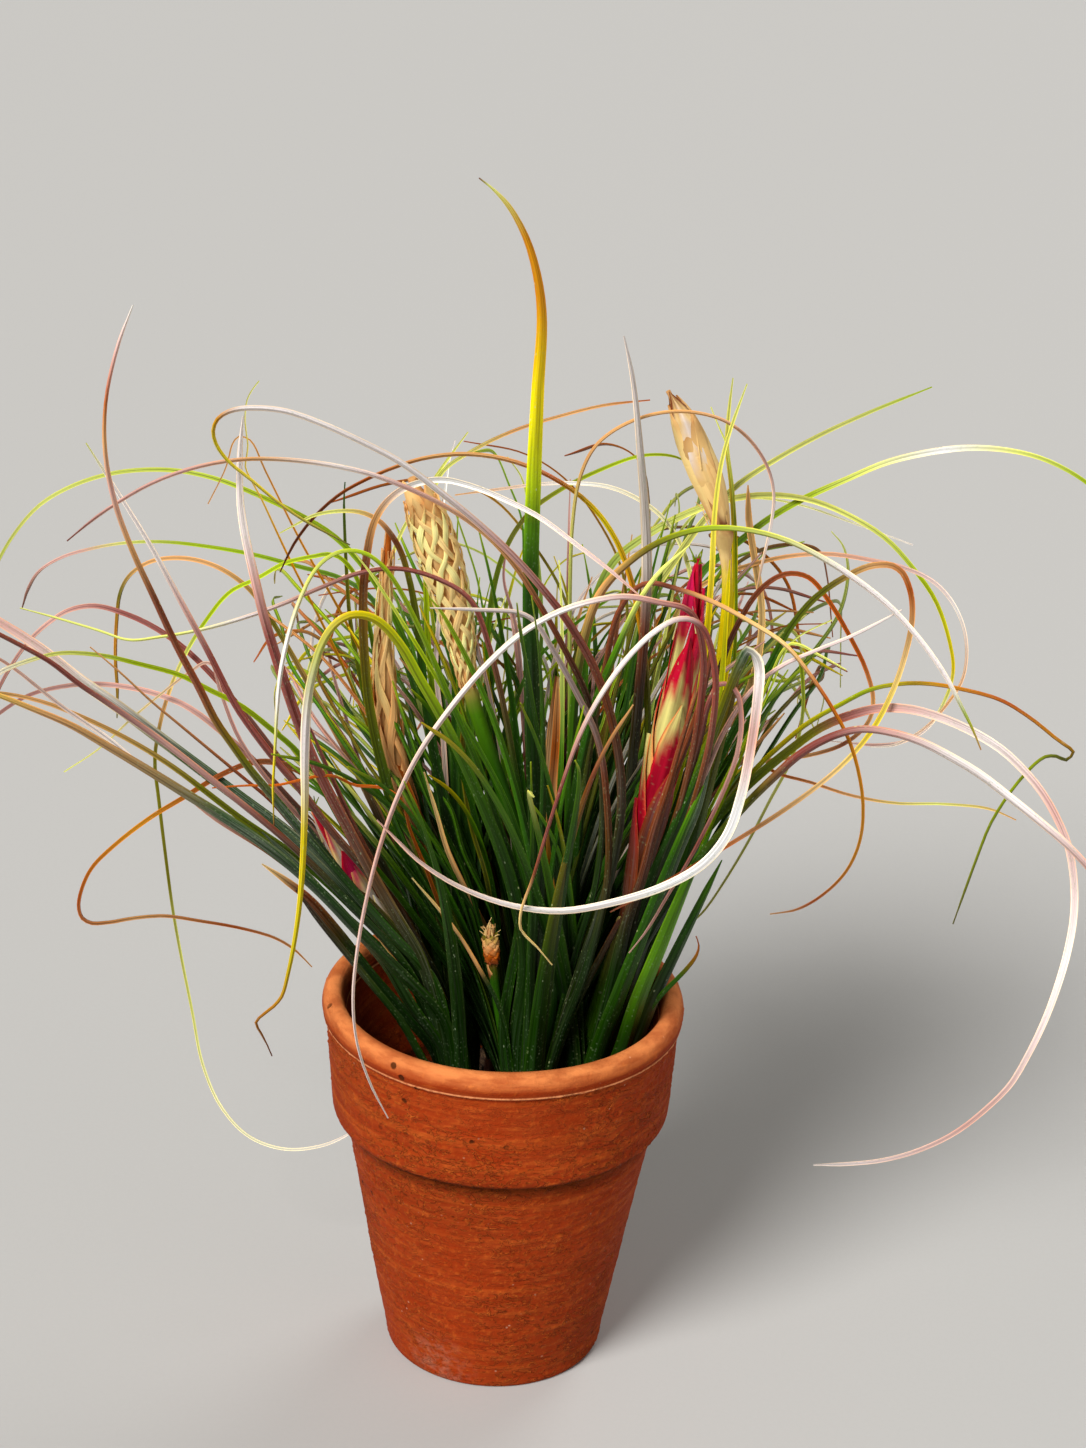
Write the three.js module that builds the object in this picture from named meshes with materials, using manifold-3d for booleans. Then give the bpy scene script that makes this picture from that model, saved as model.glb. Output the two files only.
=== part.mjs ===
// A dense clump of narrow-leaved air plants growing in a small terracotta pot.
// Millimetres, +Z up. The origin is on the pot's axis, on the surface that the pot stands on,
// with -Y towards the viewer and +X to the viewer's right.
import * as THREE from 'three';
import { mergeVertices } from 'three/addons/utils/BufferGeometryUtils.js';
import Module from 'manifold-3d';

const wasm = await Module();
wasm.setup();

const { cos, sin, sqrt, hypot, min, max, ceil, floor, round, abs, sign, exp, PI } = Math;
const point = (x, y, z) => new THREE.Vector3(x, y, z);
const degrees = (angle) => (angle * PI) / 180;

// The gap kept where two pieces touch.
const GAP = 0.3;

// The pot: outside radii from the foot to the lip, and the inside that goes with them.
const POT = {
  height: 87.5,
  rim: 40,
  lip: 5,
  bandBottom: 59.5,
  bandBottomRadius: 37.4,
  bandTopRadius: 38.9,
  neck: 34.5,
  foot: 24.4,
  footRounding: 3.2,
  wall: 5,
  floor: 6.5,
  drainHole: 5,
  sides: 32,
};

// The growing medium of bark chips, which fills the pot to well below its lip.
const MEDIUM = { top: 56, chips: 21, chipSize: 7, chipTilt: 0.45, chipTop: 60.5, sides: 28 };

// Each rosette's short stock stands in a plain hole in the medium, and has a bore for its flower stem.
const STOCK = {
  bottom: 50,
  shoulder: 62,
  top: 68,
  radius: 5,
  bore: 1.95,
  sides: 10,
  leafStart: 60,
  leafRing: 3.3,
};
const STEM = { radius: 1.6, bottom: STOCK.bottom + GAP, straightTop: 72, sides: 6 };
const ROSETTES = {
  centre: [8, 3],
  left: [-8, -7],
  right: [17, -5],
  front: [6, -13],
  back_left: [1, 14],
  back_right: [15, 15],
};

// How the photograph was taken: where the camera aimed (mm), how far off it stood (mm), its focal length
// in pixels, its tilt and roll in degrees, and the pixel at the middle of the picture.
const VIEW = { aim: [6.4, 0, 150.5], distance: 700, focal: 3334, tilt: 23.77, roll: 2.1, middle: [543, 724] };

// Leaves that can be told apart in the photograph. Each line holds the name, the rosette, the width at the
// root and at the tip (mm), how long the blade keeps its width, the depth halfway and at the tip (mm), and
// the track in the photograph's pixels, from where the leaf leaves the crowd to its tip.
const TRACED_LEAVES = [
  ['tall_yellow', 'centre', 4.2, 0.7, 4.5, -6, -10, [[556, 1040], [548, 980], [541, 880], [535, 780],
    [532, 680], [531, 580], [534, 480], [538, 390], [542, 320], [538, 280], [527, 240], [510, 208],
    [494, 190], [479, 178]]],
  ['silver_straight', 'back_right', 3.8, 0.8, 2.5, 3, 0, [[612, 990], [618, 920], [622, 860], [629, 800],
    [638, 710], [646, 610], [647, 560], [645, 510], [641, 460], [633, 380], [624, 336]]],
  ['pale_straight_right', 'centre', 4.2, 0.8, 0.9, 10, 26, [[595, 950], [605, 850], [618, 750], [632, 660],
    [650, 598], [675, 560], [700, 525], [735, 487], [775, 460], [820, 435], [870, 412], [932, 387]]],
  ['white_front_ring', 'right', 4.6, 0.8, 1.3, -30, -52, [[615, 980], [645, 900], [675, 830], [700, 770],
    [722, 710], [740, 665], [750, 650], [758, 665], [757, 700], [750, 750], [741, 795], [727, 835],
    [703, 864], [665, 886], [615, 902], [560, 911], [510, 905], [460, 887], [420, 862], [395, 838],
    [377, 820]]],
  ['white_front_arc', 'right', 3.6, 0.6, 0.8, -32, -50, [[620, 970], [655, 880], [685, 790], [700, 710],
    [703, 650], [690, 612], [660, 603], [625, 597], [590, 602], [555, 614], [520, 635], [485, 667],
    [450, 709], [420, 752], [398, 796], [382, 840], [369, 888], [358, 945], [353, 1000], [357, 1043],
    [370, 1083], [388, 1118]]],
  ['white_front_curl', 'right', 3.4, 0.7, 0.9, -34, -46, [[630, 970], [665, 880], [695, 800], [712, 730],
    [715, 670], [700, 625], [680, 619], [655, 632], [628, 658], [600, 697], [580, 735], [562, 785],
    [547, 832], [533, 878], [521, 912], [521, 930], [536, 946], [552, 965]]],
  ['white_arch_hook', 'front', 4.6, 0.8, 0.8, -28, -40, [[585, 960], [610, 880], [622, 800], [613, 725],
    [595, 670], [570, 625], [545, 592], [515, 558], [480, 525], [440, 492], [400, 462], [360, 441],
    [320, 423], [285, 411], [252, 408], [230, 411], [216, 421], [213, 434], [218, 448], [230, 463],
    [250, 479], [275, 500], [300, 518], [325, 532], [350, 545]]],
  ['big_loop_right', 'right', 4.4, 0.9, 1, -26, -102, [[620, 960], [650, 900], [680, 865], [705, 832],
    [735, 798], [765, 770], [795, 746], [820, 728], [850, 715], [880, 708], [910, 709], [940, 717],
    [970, 730], [1000, 748], [1022, 768], [1042, 792], [1057, 818], [1068, 845], [1074, 880], [1074, 915],
    [1068, 950], [1058, 985], [1045, 1020], [1028, 1055], [1010, 1085], [985, 1110], [955, 1133],
    [920, 1150], [885, 1160], [850, 1164], [814, 1165]]],
  ['big_arch_right', 'right', 4.6, 1.3, 0.9, -36, -62, [[625, 980], [665, 910], [700, 860], [740, 812],
    [775, 777], [800, 755], [830, 738], [860, 730], [890, 733], [920, 742], [950, 757], [980, 775],
    [1010, 798], [1040, 822], [1070, 848], [1100, 882], [1128, 928], [1150, 980], [1162, 1030]]],
  ['olive_loop_right', 'right', 4.6, 1.1, 0.6, -10, -34, [[630, 970], [665, 890], [695, 820], [722, 755],
    [748, 705], [770, 665], [790, 628], [815, 598], [845, 577], [875, 565], [898, 568], [910, 590],
    [912, 620], [905, 655], [893, 690], [872, 730], [845, 762], [812, 790], [775, 816], [735, 841],
    [695, 865], [655, 888], [610, 912]]],
  ['orange_tall', 'left', 4.4, 0.8, 1, -26, -40, [[430, 980], [395, 940], [360, 900], [330, 865],
    [300, 830], [275, 800], [250, 770], [232, 745], [215, 720], [200, 690], [176, 645], [155, 600],
    [132, 550], [114, 500], [105, 450], [106, 400], [118, 345], [133, 305]]],
  ['silver_left', 'left', 4.8, 1.1, 2, 2, 12, [[440, 985], [400, 942], [360, 900], [320, 862],
    [280, 828], [240, 798], [200, 768], [160, 738], [120, 708], [80, 680], [40, 648], [0, 622],
    [-60, 588], [-115, 562], [-160, 549]]],
  ['green_left_low', 'left', 4.6, 1.1, 1.6, -26, -56, [[440, 1020], [400, 975], [360, 935], [320, 893],
    [270, 850], [230, 822], [190, 797], [150, 772], [110, 748], [70, 725], [30, 708], [0, 696],
    [-40, 683], [-80, 676]]],
  ['white_upright', 'left', 4.2, 1, 1.2, -20, -22, [[420, 960], [380, 900], [350, 850], [325, 800],
    [308, 760], [295, 720], [283, 680], [272, 645], [262, 610], [255, 580], [248, 550], [243, 525],
    [240, 500], [240, 450], [243, 416]]],
  ['drooper_front', 'front', 4.2, 0.7, 2, -32, -58, [[525, 960], [515, 900], [500, 850], [480, 800],
    [460, 755], [440, 715], [420, 680], [400, 645], [380, 623], [365, 616], [350, 616], [335, 625],
    [322, 645], [314, 670], [308, 700], [305, 750], [305, 800], [303, 860], [299, 910], [293, 950],
    [287, 978], [282, 996], [270, 1010], [256, 1021], [265, 1040], [272, 1056]]],
  ['drooper_thin', 'front', 3.2, 0.7, 1.1, -22, -38, [[520, 900], [500, 830], [480, 770], [450, 700],
    [420, 630], [390, 575], [370, 556], [355, 551], [340, 552], [325, 560], [312, 575], [300, 600],
    [290, 630], [281, 670], [277, 710], [275, 750], [273, 790], [274, 825]]],
  ['olive_to_white', 'left', 4.4, 0.8, 1.4, 0, -4, [[455, 1000], [425, 910], [400, 830], [383, 770],
    [370, 710], [364, 650], [363, 600], [366, 560], [374, 522], [388, 500], [408, 486], [440, 479],
    [470, 485], [505, 499], [540, 517], [575, 543], [610, 570], [640, 596]]],
  ['brown_arch', 'front', 3.6, 0.8, 0.8, -20, -34, [[575, 960], [597, 880], [603, 790], [590, 705],
    [565, 650], [540, 605], [515, 566], [485, 534], [450, 509], [410, 489], [370, 474], [330, 465],
    [290, 460], [250, 459], [215, 463], [180, 472], [150, 484], [120, 501], [95, 518], [67, 541]]],
  ['orange_arch_high', 'back_right', 3.8, 0.8, 0.8, 12, 10, [[622, 940], [640, 840], [648, 740], [645, 660],
    [636, 600], [622, 553], [605, 522], [585, 500], [560, 482], [530, 467], [495, 457], [460, 454],
    [425, 458], [395, 467], [365, 480], [340, 494], [315, 516], [295, 542], [280, 572]]],
  ['green_arch_off_left', 'back_left', 3.8, 0.9, 0.8, 28, 58, [[500, 980], [475, 880], [450, 780],
    [425, 700], [400, 630], [370, 575], [335, 537], [300, 515], [260, 496], [220, 480], [180, 471],
    [140, 470], [105, 475], [70, 487], [40, 505], [15, 533], [-5, 568], [-18, 606], [-24, 640]]],
  ['green_arch_tip_left', 'back_left', 3.4, 0.7, 0.8, 44, 104, [[490, 960], [460, 850], [430, 740],
    [400, 650], [370, 597], [340, 578], [300, 567], [255, 555], [210, 547], [165, 542], [125, 543],
    [90, 549], [60, 558], [38, 572], [27, 590], [22, 608]]],
  ['green_arch_off_right', 'back_right', 4.2, 1.1, 0.9, 28, 60, [[625, 960], [645, 880], [660, 790],
    [668, 700], [680, 620], [703, 572], [735, 545], [770, 518], [805, 498], [845, 480], [885, 463],
    [925, 453], [965, 448], [1005, 450], [1040, 458], [1075, 475], [1105, 498], [1135, 528], [1158, 562]]],
  ['white_down_right', 'centre', 4.4, 0.9, 1.2, -10, -38, [[572, 950], [570, 850], [572, 750], [580, 660],
    [600, 595], [630, 562], [665, 540], [705, 529], [745, 530], [785, 540], [820, 557], [855, 579],
    [890, 607], [920, 640], [945, 675], [962, 708], [973, 730], [981, 750]]],
  ['yellow_hook_right', 'back_right', 4.2, 0.7, 1.1, 16, 40, [[598, 950], [590, 840], [585, 740],
    [585, 660], [595, 600], [615, 560], [650, 533], [690, 512], [730, 499], [770, 495], [810, 500],
    [850, 516], [885, 538], [912, 567], [935, 600], [949, 640], [953, 672], [945, 700], [928, 727],
    [905, 741], [875, 745], [850, 743], [828, 741]]],
  ['yellow_arch_right', 'back_right', 3.8, 0.8, 0.6, -6, -28, [[630, 980], [665, 900], [700, 840],
    [730, 800], [760, 765], [785, 742], [810, 722], [840, 705], [870, 690], [900, 684], [930, 684],
    [960, 689], [1000, 700], [1030, 718], [1055, 738], [1074, 754], [1066, 760], [1052, 755],
    [1040, 760], [1020, 780], [1005, 800], [990, 825], [978, 855], [967, 885], [958, 910], [953, 924]]],
  ['thin_fold_right', 'right', 3, 0.8, 0.8, 0, -4, [[625, 960], [655, 870], [685, 780], [710, 700],
    [735, 630], [760, 590], [785, 574], [808, 577], [828, 600], [850, 637], [866, 670], [873, 700],
    [868, 722], [845, 743], [810, 755], [780, 759], [764, 762], [775, 772], [810, 782], [850, 795],
    [895, 803], [945, 804], [990, 809], [1016, 820]]],
  ['orange_drop_right', 'centre', 3.2, 0.8, 0.9, -16, -50, [[573, 950], [578, 850], [590, 750],
    [605, 670], [620, 610], [645, 584], [680, 590], [715, 603], [750, 622], [785, 645], [810, 675],
    [832, 708], [848, 738], [858, 770], [863, 805], [860, 840], [847, 870], [825, 893], [798, 909],
    [770, 914]]],
  ['brown_front_bow', 'right', 3.2, 0.6, 1.2, -20, -34, [[620, 970], [650, 890], [680, 810], [700, 740],
    [710, 700], [722, 683], [735, 690], [741, 715], [738, 750], [726, 785], [710, 820], [690, 858],
    [668, 895], [647, 930], [629, 953]]],
  ['orange_loop_left', 'left', 3, 0.8, 0.9, 6, 18, [[400, 900], [360, 830], [320, 785], [285, 765],
    [256, 762], [225, 773], [183, 798], [150, 818], [115, 845], [92, 868], [81, 892], [79, 910],
    [86, 922], [105, 923], [135, 918], [165, 916], [200, 921], [240, 928], [275, 938], [295, 950],
    [312, 967]]],
  ['long_thread_left', 'back_left', 2.8, 0.8, 1.2, 22, 24, [[450, 960], [410, 840], [385, 720], [370, 630],
    [355, 575], [335, 555], [310, 557], [285, 563], [258, 578], [230, 592], [205, 622], [185, 655],
    [170, 690], [160, 725], [155, 760], [159, 800], [165, 850], [173, 910], [182, 960], [192, 1010],
    [203, 1065], [222, 1108], [250, 1137], [285, 1149], [320, 1146], [345, 1136], [360, 1126]]],
  ['tan_arch', 'back_left', 4, 0.8, 0.7, 24, 48, [[440, 960], [405, 880], [375, 810], [345, 750],
    [320, 705], [295, 660], [270, 618], [250, 590], [225, 571], [200, 561], [175, 558], [150, 562],
    [130, 575], [120, 593], [116, 625], [115, 660], [117, 690], [117, 718]]],
  ['green_arch_left', 'left', 3.6, 1.2, 1.3, -18, -44, [[380, 900], [340, 820], [300, 755], [270, 728],
    [240, 705], [210, 690], [180, 675], [140, 664], [100, 655], [60, 653], [30, 660], [0, 672],
    [-30, 694], [-58, 724]]],
  ['pink_arch_low', 'left', 2.8, 1, 1, 10, 30, [[390, 925], [340, 855], [290, 800], [250, 757],
    [225, 735], [200, 715], [180, 703], [150, 692], [120, 686], [90, 684], [60, 687], [30, 695],
    [0, 713], [-28, 738], [-50, 770]]],
  ['pink_arch_high', 'back_left', 3, 1, 1, 20, 44, [[430, 980], [380, 900], [330, 830], [280, 760],
    [240, 708], [210, 673], [180, 645], [150, 625], [120, 612], [95, 606], [70, 610], [50, 622],
    [30, 640], [10, 668], [-6, 700], [-14, 735]]],
  ['olive_left_low', 'left', 3.2, 0.9, 1.2, -10, -20, [[400, 960], [350, 905], [300, 860], [240, 818],
    [210, 795], [180, 772], [150, 752], [120, 735], [80, 716], [40, 701], [0, 693], [-45, 692], [-80, 700]]],
  ['pink_left_straight', 'left', 3.2, 1, 1.2, -34, -76, [[410, 975], [350, 905], [290, 845], [230, 795],
    [160, 740], [110, 705], [80, 685], [50, 662], [25, 648], [0, 635], [-45, 614], [-85, 600]]],
  ['thin_left_straight', 'left', 2.6, 0.8, 0.8, -16, -36, [[420, 990], [370, 938], [320, 893], [270, 853],
    [215, 818], [180, 790], [140, 765], [110, 740], [60, 705], [12, 667], [-20, 648], [-60, 628]]],
  ['silver_pink_thin', 'left', 2.8, 0.8, 0.8, -12, -10, [[420, 960], [380, 890], [330, 830], [300, 790],
    [275, 760], [252, 730], [235, 705], [208, 652], [180, 600], [150, 545], [118, 493], [100, 465],
    [86, 443]]],
  ['dark_wide', 'centre', 4.6, 0.8, 1.7, 2, 10, [[500, 1000], [475, 920], [450, 830], [435, 760], [425, 700],
    [420, 650], [415, 610], [408, 575], [400, 550], [390, 533], [378, 520], [360, 512], [340, 511],
    [315, 515], [295, 525], [280, 533]]],
  ['thread_far_left', 'centre', 2.8, 0.7, 0.9, 0, 6, [[535, 960], [525, 840], [510, 740], [490, 650],
    [470, 600], [440, 580], [400, 569], [360, 573], [320, 588], [280, 605], [240, 619], [200, 630],
    [160, 637], [128, 640], [100, 631], [60, 619], [20, 608]]],
  ['thin_top_arc', 'back_left', 2.8, 0.8, 1.4, 20, 20, [[480, 950], [450, 820], [433, 700], [426, 600],
    [428, 530], [440, 475], [475, 449], [515, 430], [560, 416], [605, 405], [650, 400]]],
  ['thin_hoop', 'centre', 2.4, 0.7, 1.4, 6, 4, [[562, 960], [568, 840], [570, 720], [570, 600],
    [573, 520], [580, 478], [595, 447], [620, 427], [655, 414], [690, 412], [725, 421], [750, 440],
    [768, 468], [774, 495], [771, 525], [763, 560], [755, 598]]],
  ['yellow_upright', 'back_right', 3.8, 1, 2, 14, 24, [[620, 960], [655, 880], [690, 800], [715, 720],
    [730, 640], [735, 560], [732, 490], [727, 445], [729, 410], [733, 378]]],
  ['yellow_lean', 'right', 3.4, 0.9, 1.8, 2, 8, [[610, 970], [640, 890], [668, 810], [690, 730],
    [705, 650], [712, 570], [715, 510], [722, 460], [732, 425], [747, 384]]],
  ['olive_arc_back', 'back_left', 3.8, 0.9, 1.1, 30, 56, [[505, 950], [495, 820], [487, 700], [490, 610],
    [505, 550], [530, 512], [560, 490], [600, 470], [640, 456], [672, 456], [695, 466]]],
  ['white_arc_back', 'back_right', 2.6, 0.7, 1.4, 24, 34, [[640, 930], [670, 800], [690, 690], [695, 610],
    [685, 555], [665, 520], [640, 500], [610, 487], [575, 483], [540, 484], [500, 489], [455, 495]]],
  ['thin_arch_right', 'back_right', 2.8, 0.7, 0.8, 12, 28, [[600, 950], [620, 850], [640, 750], [660, 660],
    [685, 600], [715, 578], [750, 565], [790, 556], [830, 554], [870, 560], [905, 568], [935, 583],
    [955, 607], [966, 640], [963, 678], [948, 703], [925, 728], [895, 745], [870, 747]]],
  ['thin_right_drop', 'back_right', 2.6, 0.7, 1, 18, 26, [[640, 950], [685, 850], [730, 760], [765, 690],
    [785, 650], [797, 655], [803, 690], [801, 725], [790, 762], [770, 800], [748, 842], [724, 882],
    [703, 912], [683, 930]]],
  ['pale_short_right', 'right', 2.8, 0.8, 1.1, -14, -30, [[625, 970], [660, 880], [695, 800], [725, 730],
    [752, 690], [780, 667], [815, 651], [850, 637], [880, 622], [902, 610]]],
  ['short_rim_right', 'right', 3.2, 0.6, 1.6, -12, -18, [[640, 1026], [659, 998], [678, 978], [692, 962],
    [699, 948], [696, 936]]],
  ['green_centre_wide', 'front', 4.8, 1, 2, -16, -20, [[557, 1000], [557, 940], [563, 880], [572, 820],
    [582, 760], [597, 700], [617, 650], [640, 600], [660, 572], [690, 545]]],
  ['pale_diagonal', 'front', 4.2, 0.9, 1.4, -13, -14, [[540, 960], [530, 880], [510, 810], [480, 750],
    [450, 700], [420, 650], [395, 610], [372, 575], [355, 553]]],
  ['olive_diagonal', 'front', 4.2, 1.2, 2, -17, -20, [[545, 960], [540, 900], [528, 840], [510, 770],
    [490, 710], [465, 655], [440, 610], [430, 598]]],
  ['tan_thin_top', 'front', 3, 0.8, 1.6, -22, -26, [[590, 960], [608, 880], [607, 800], [598, 740],
    [575, 690], [550, 645], [535, 622], [520, 613], [480, 610], [430, 608]]],
  ['frayed_short_left', 'left', 3.6, 1.8, 2, -2, -6, [[430, 1045], [400, 1010], [370, 975], [340, 935],
    [310, 900], [285, 880], [262, 864]]],
  ['thread_upright_left', 'back_left', 2.6, 0.8, 1.8, 28, 44, [[450, 940], [410, 830], [380, 750],
    [365, 700], [357, 660], [350, 620], [347, 580], [345, 540], [344, 500], [345, 482]]],
  ['thin_diagonal', 'back_left', 2.6, 0.8, 1.8, 20, 26, [[440, 950], [405, 840], [385, 740], [378, 660],
    [383, 590], [400, 535], [425, 493], [445, 463], [468, 432]]],
  ['dry_stick', 'back_right', 2.4, 1.8, 3, 22, 32, [[640, 940], [690, 830], [730, 740], [758, 660],
    [762, 610], [755, 560], [749, 520], [748, 485]]],
  ['dry_bract', 'centre', 3.6, 1.2, 3, 9, 12, [[540, 960], [543, 880], [546, 800], [550, 740], [554, 700],
    [556, 676]]],
];

// Flower spikes and their stems, one in each rosette: the rosette, the depth halfway and at the tip (mm),
// the widest radius (mm), where the bracts begin along the stem (0 to 1), how many there are and in how
// many rows, how far each stands off, the bract's length (mm), and the track in the photograph's pixels.
const SPIKES = {
  flower_spike_right: { rosette: 'right', depth: [-10, -10], radius: 4.2, from: 0.42, bracts: 7, rows: 3,
    stand: 0.16, length: 34, track: [[612, 960], [636, 880], [654, 810], [668, 740], [682, 670], [690, 620],
      [698, 558]] },
  flower_spike_left: { rosette: 'left', depth: [-10, -16], radius: 3.3, from: 0.34, bracts: 5, rows: 2,
    stand: 0.2, length: 26, track: [[440, 1000], [400, 950], [370, 905], [345, 865], [325, 830],
      [311, 806]] },
  dry_spike_braided: { rosette: 'centre', depth: [6, 3], radius: 4, from: 0.56, bracts: 11, rows: 2,
    stand: 0.3, length: 17, track: [[546, 960], [522, 850], [492, 760], [470, 690], [457, 620], [441, 560],
      [426, 515], [412, 478]] },
  dry_spike_tall: { rosette: 'back_right', depth: [13, 11], radius: 4.4, from: 0.74, bracts: 6, rows: 2,
    stand: 0.2, length: 22, track: [[620, 930], [668, 830], [703, 740], [721, 640], [727, 560], [718, 500],
      [700, 450], [683, 415], [669, 391]] },
  dry_spike_narrow: { rosette: 'back_left', depth: [10, 6], radius: 2.4, from: 0.52, bracts: 6, rows: 2,
    stand: 0.2, length: 18, track: [[470, 960], [430, 860], [398, 770], [386, 700], [383, 640], [386, 580],
      [389, 530]] },
  scape_stub: { rosette: 'front', depth: [-14, -14], radius: 2.3, from: 0.72, bracts: 5, rows: 3, stand: 0.5,
    length: 8, track: [[508, 1050], [499, 1000], [491, 935]] },
};

// The body inside a spike's bracts, as a share of the spike's radius and at its least (mm).
const SPIKE_CORE_SHARE = 0.62;
const SPIKE_CORE_LEAST = 0.5;

// A bract's outline: along its length (0 to 1), its width and how far it stands off, in body radii.
const BRACT_SHAPE = [[0, 1.2, 0.4], [0.35, 2.1, 0.66], [0.72, 1.5, 0.84], [1, 0.3, 0.9]];

// The other leaves follow a rule: how many to a rosette, the direction that its fan of them opens in and
// the fan's half angle (degrees from +X), the spread of their lengths (mm), their lean from upright
// (degrees) from the innermost to the outermost, and how much further they bend over towards the tip.
const RULE_LEAVES = {
  centre: { count: 12, towards: 100, fan: 180, length: [105, 165], lean: [4, 22], bend: [10, 80] },
  left: { count: 14, towards: 200, fan: 120, length: [95, 165], lean: [8, 46], bend: [15, 90] },
  right: { count: 14, towards: -20, fan: 110, length: [95, 165], lean: [8, 44], bend: [15, 90] },
  front: { count: 16, towards: -90, fan: 130, length: [80, 150], lean: [8, 46], bend: [10, 90] },
  back_left: { count: 20, towards: 118, fan: 120, length: [105, 185], lean: [6, 52], bend: [20, 120] },
  back_right: { count: 20, towards: 58, fan: 120, length: [105, 185], lean: [6, 52], bend: [20, 120] },
};
const RULE_WIDTH = [3.4, 4.6];
const RULE_TIP_WIDTH = 0.8;
const GOLDEN_ANGLE = 137.508;
const GOLDEN_SHARE = 0.618034;
const TRIES = 90;

// The crowd's outline in the photograph, in pixels, which leaves that follow the rule stay inside.
const CROWD_OUTLINE = [[262, 700], [300, 610], [370, 530], [450, 480], [560, 475], [690, 490], [790, 545],
  [840, 620], [830, 700], [790, 790], [735, 870], [705, 950], [670, 1030], [640, 1340], [380, 1340],
  [345, 1010], [330, 900], [275, 800]];

// Blades: how far apart the points of a fine route lie, how the section changes, and how much a blade may
// run on or turn before it gets another row of vertices.
const FINE_STEP = 2.5;
const KEEL = { share: 0.27, least: 0.8 };
const CHANNEL = 0.16;
const TRACED_ROWS = { length: 46, turn: degrees(31), twist: degrees(60) };
const RULE_ROWS = { length: 46, turn: degrees(48), twist: degrees(80) };
const FACING_LENGTH = 55;

// Routes of different pieces keep this much between their sampled points, which lie SAMPLE_STEP apart.
const SAMPLE_STEP = 1;
const SAMPLE_CLEARANCE = 1.6;
const LOWEST_LEAF = 6;
const FURTHEST_DEPTH = 100;
// Below this height a rosette's leaves may come near its own flower stem.
const OWN_STEM_TOP = 76;

// A solid from rings of points with the same count, closed at both ends.
function loft(rings) {
  const count = rings[0].length;
  const positions = rings.flat().flatMap((p) => [p.x, p.y, p.z]);
  const triangles = [];
  for (let row = 0; row + 1 < rings.length; row++) {
    for (let i = 0; i < count; i++) {
      const a = row * count + i;
      const b = row * count + ((i + 1) % count);
      triangles.push(a, b, a + count, b, b + count, a + count);
    }
  }
  const last = (rings.length - 1) * count;
  for (let i = 1; i + 1 < count; i++) {
    triangles.push(0, i + 1, i, last, last + i, last + i + 1);
  }
  const geometry = new THREE.BufferGeometry();
  geometry.setAttribute('position', new THREE.Float32BufferAttribute(positions, 3));
  geometry.setIndex(triangles);
  return geometry;
}

// A closed mesh as a solid for joining and cutting, turned inside out if its faces point in.
function solid(geometry) {
  const bare = new THREE.BufferGeometry();
  bare.setAttribute('position', geometry.getAttribute('position'));
  bare.setIndex(geometry.getIndex());
  const merged = mergeVertices(bare, 1e-4);
  const positions = merged.getAttribute('position').array;
  const triangles = Array.from(merged.getIndex().array);
  const corner = (i) => point(positions[3 * i], positions[3 * i + 1], positions[3 * i + 2]);
  const kept = [];
  let volume = 0;
  for (let i = 0; i < triangles.length; i += 3) {
    const [a, b, c] = triangles.slice(i, i + 3);
    if (a === b || b === c || c === a) continue;
    kept.push(a, b, c);
    volume += corner(a).dot(corner(b).cross(corner(c)));
  }
  if (volume < 0) kept.reverse();
  const vertProperties = Float32Array.from(positions);
  const triVerts = Uint32Array.from(kept);
  return new wasm.Manifold(new wasm.Mesh({ numProp: 3, vertProperties, triVerts }));
}

function join(solids) {
  let parts = solids;
  while (parts.length > 1) {
    const joined = [];
    for (let i = 0; i < parts.length; i += 2) {
      joined.push(i + 1 < parts.length ? parts[i].add(parts[i + 1]) : parts[i]);
    }
    parts = joined;
  }
  return parts[0];
}

function geometryOf(body) {
  const mesh = body.getMesh();
  const geometry = new THREE.BufferGeometry();
  geometry.setAttribute('position', new THREE.Float32BufferAttribute(mesh.vertProperties, 3));
  geometry.setIndex(Array.from(mesh.triVerts));
  return geometry;
}

function lathe(profile, sides) {
  const geometry = new THREE.LatheGeometry(profile.map(([r, z]) => new THREE.Vector2(r, z)), sides);
  return geometry.rotateX(PI / 2);
}

// The photograph's camera.
const tilt = degrees(VIEW.tilt);
const roll = degrees(VIEW.roll);
const viewBack = point(0, -cos(tilt), sin(tilt));
const viewForward = viewBack.clone().negate();
const levelUp = point(0, sin(tilt), cos(tilt));
const viewRight = point(cos(roll), 0, 0).addScaledVector(levelUp, sin(roll));
const viewUp = levelUp.clone().multiplyScalar(cos(roll)).sub(point(sin(roll), 0, 0));
const viewEye = point(...VIEW.aim).addScaledVector(viewBack, VIEW.distance);

// The point that a pixel of the photograph shows, at a given depth.
function photoPoint([px, py], depth) {
  const ray = viewForward.clone()
    .addScaledVector(viewRight, (px - VIEW.middle[0]) / VIEW.focal)
    .addScaledVector(viewUp, (VIEW.middle[1] - py) / VIEW.focal);
  return viewEye.clone().addScaledVector(ray, (depth - viewEye.y) / ray.y);
}

function photoPixel(p) {
  const ray = p.clone().sub(viewEye);
  const scale = VIEW.focal / ray.dot(viewForward);
  return [VIEW.middle[0] + ray.dot(viewRight) * scale, VIEW.middle[1] - ray.dot(viewUp) * scale];
}

function insideOutline([x, y], outline) {
  let inside = false;
  for (let i = 0, j = outline.length - 1; i < outline.length; j = i++) {
    const [xi, yi] = outline[i];
    const [xj, yj] = outline[j];
    if (yi > y !== yj > y && x < ((xj - xi) * (y - yi)) / (yj - yi) + xi) inside = !inside;
  }
  return inside;
}

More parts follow.
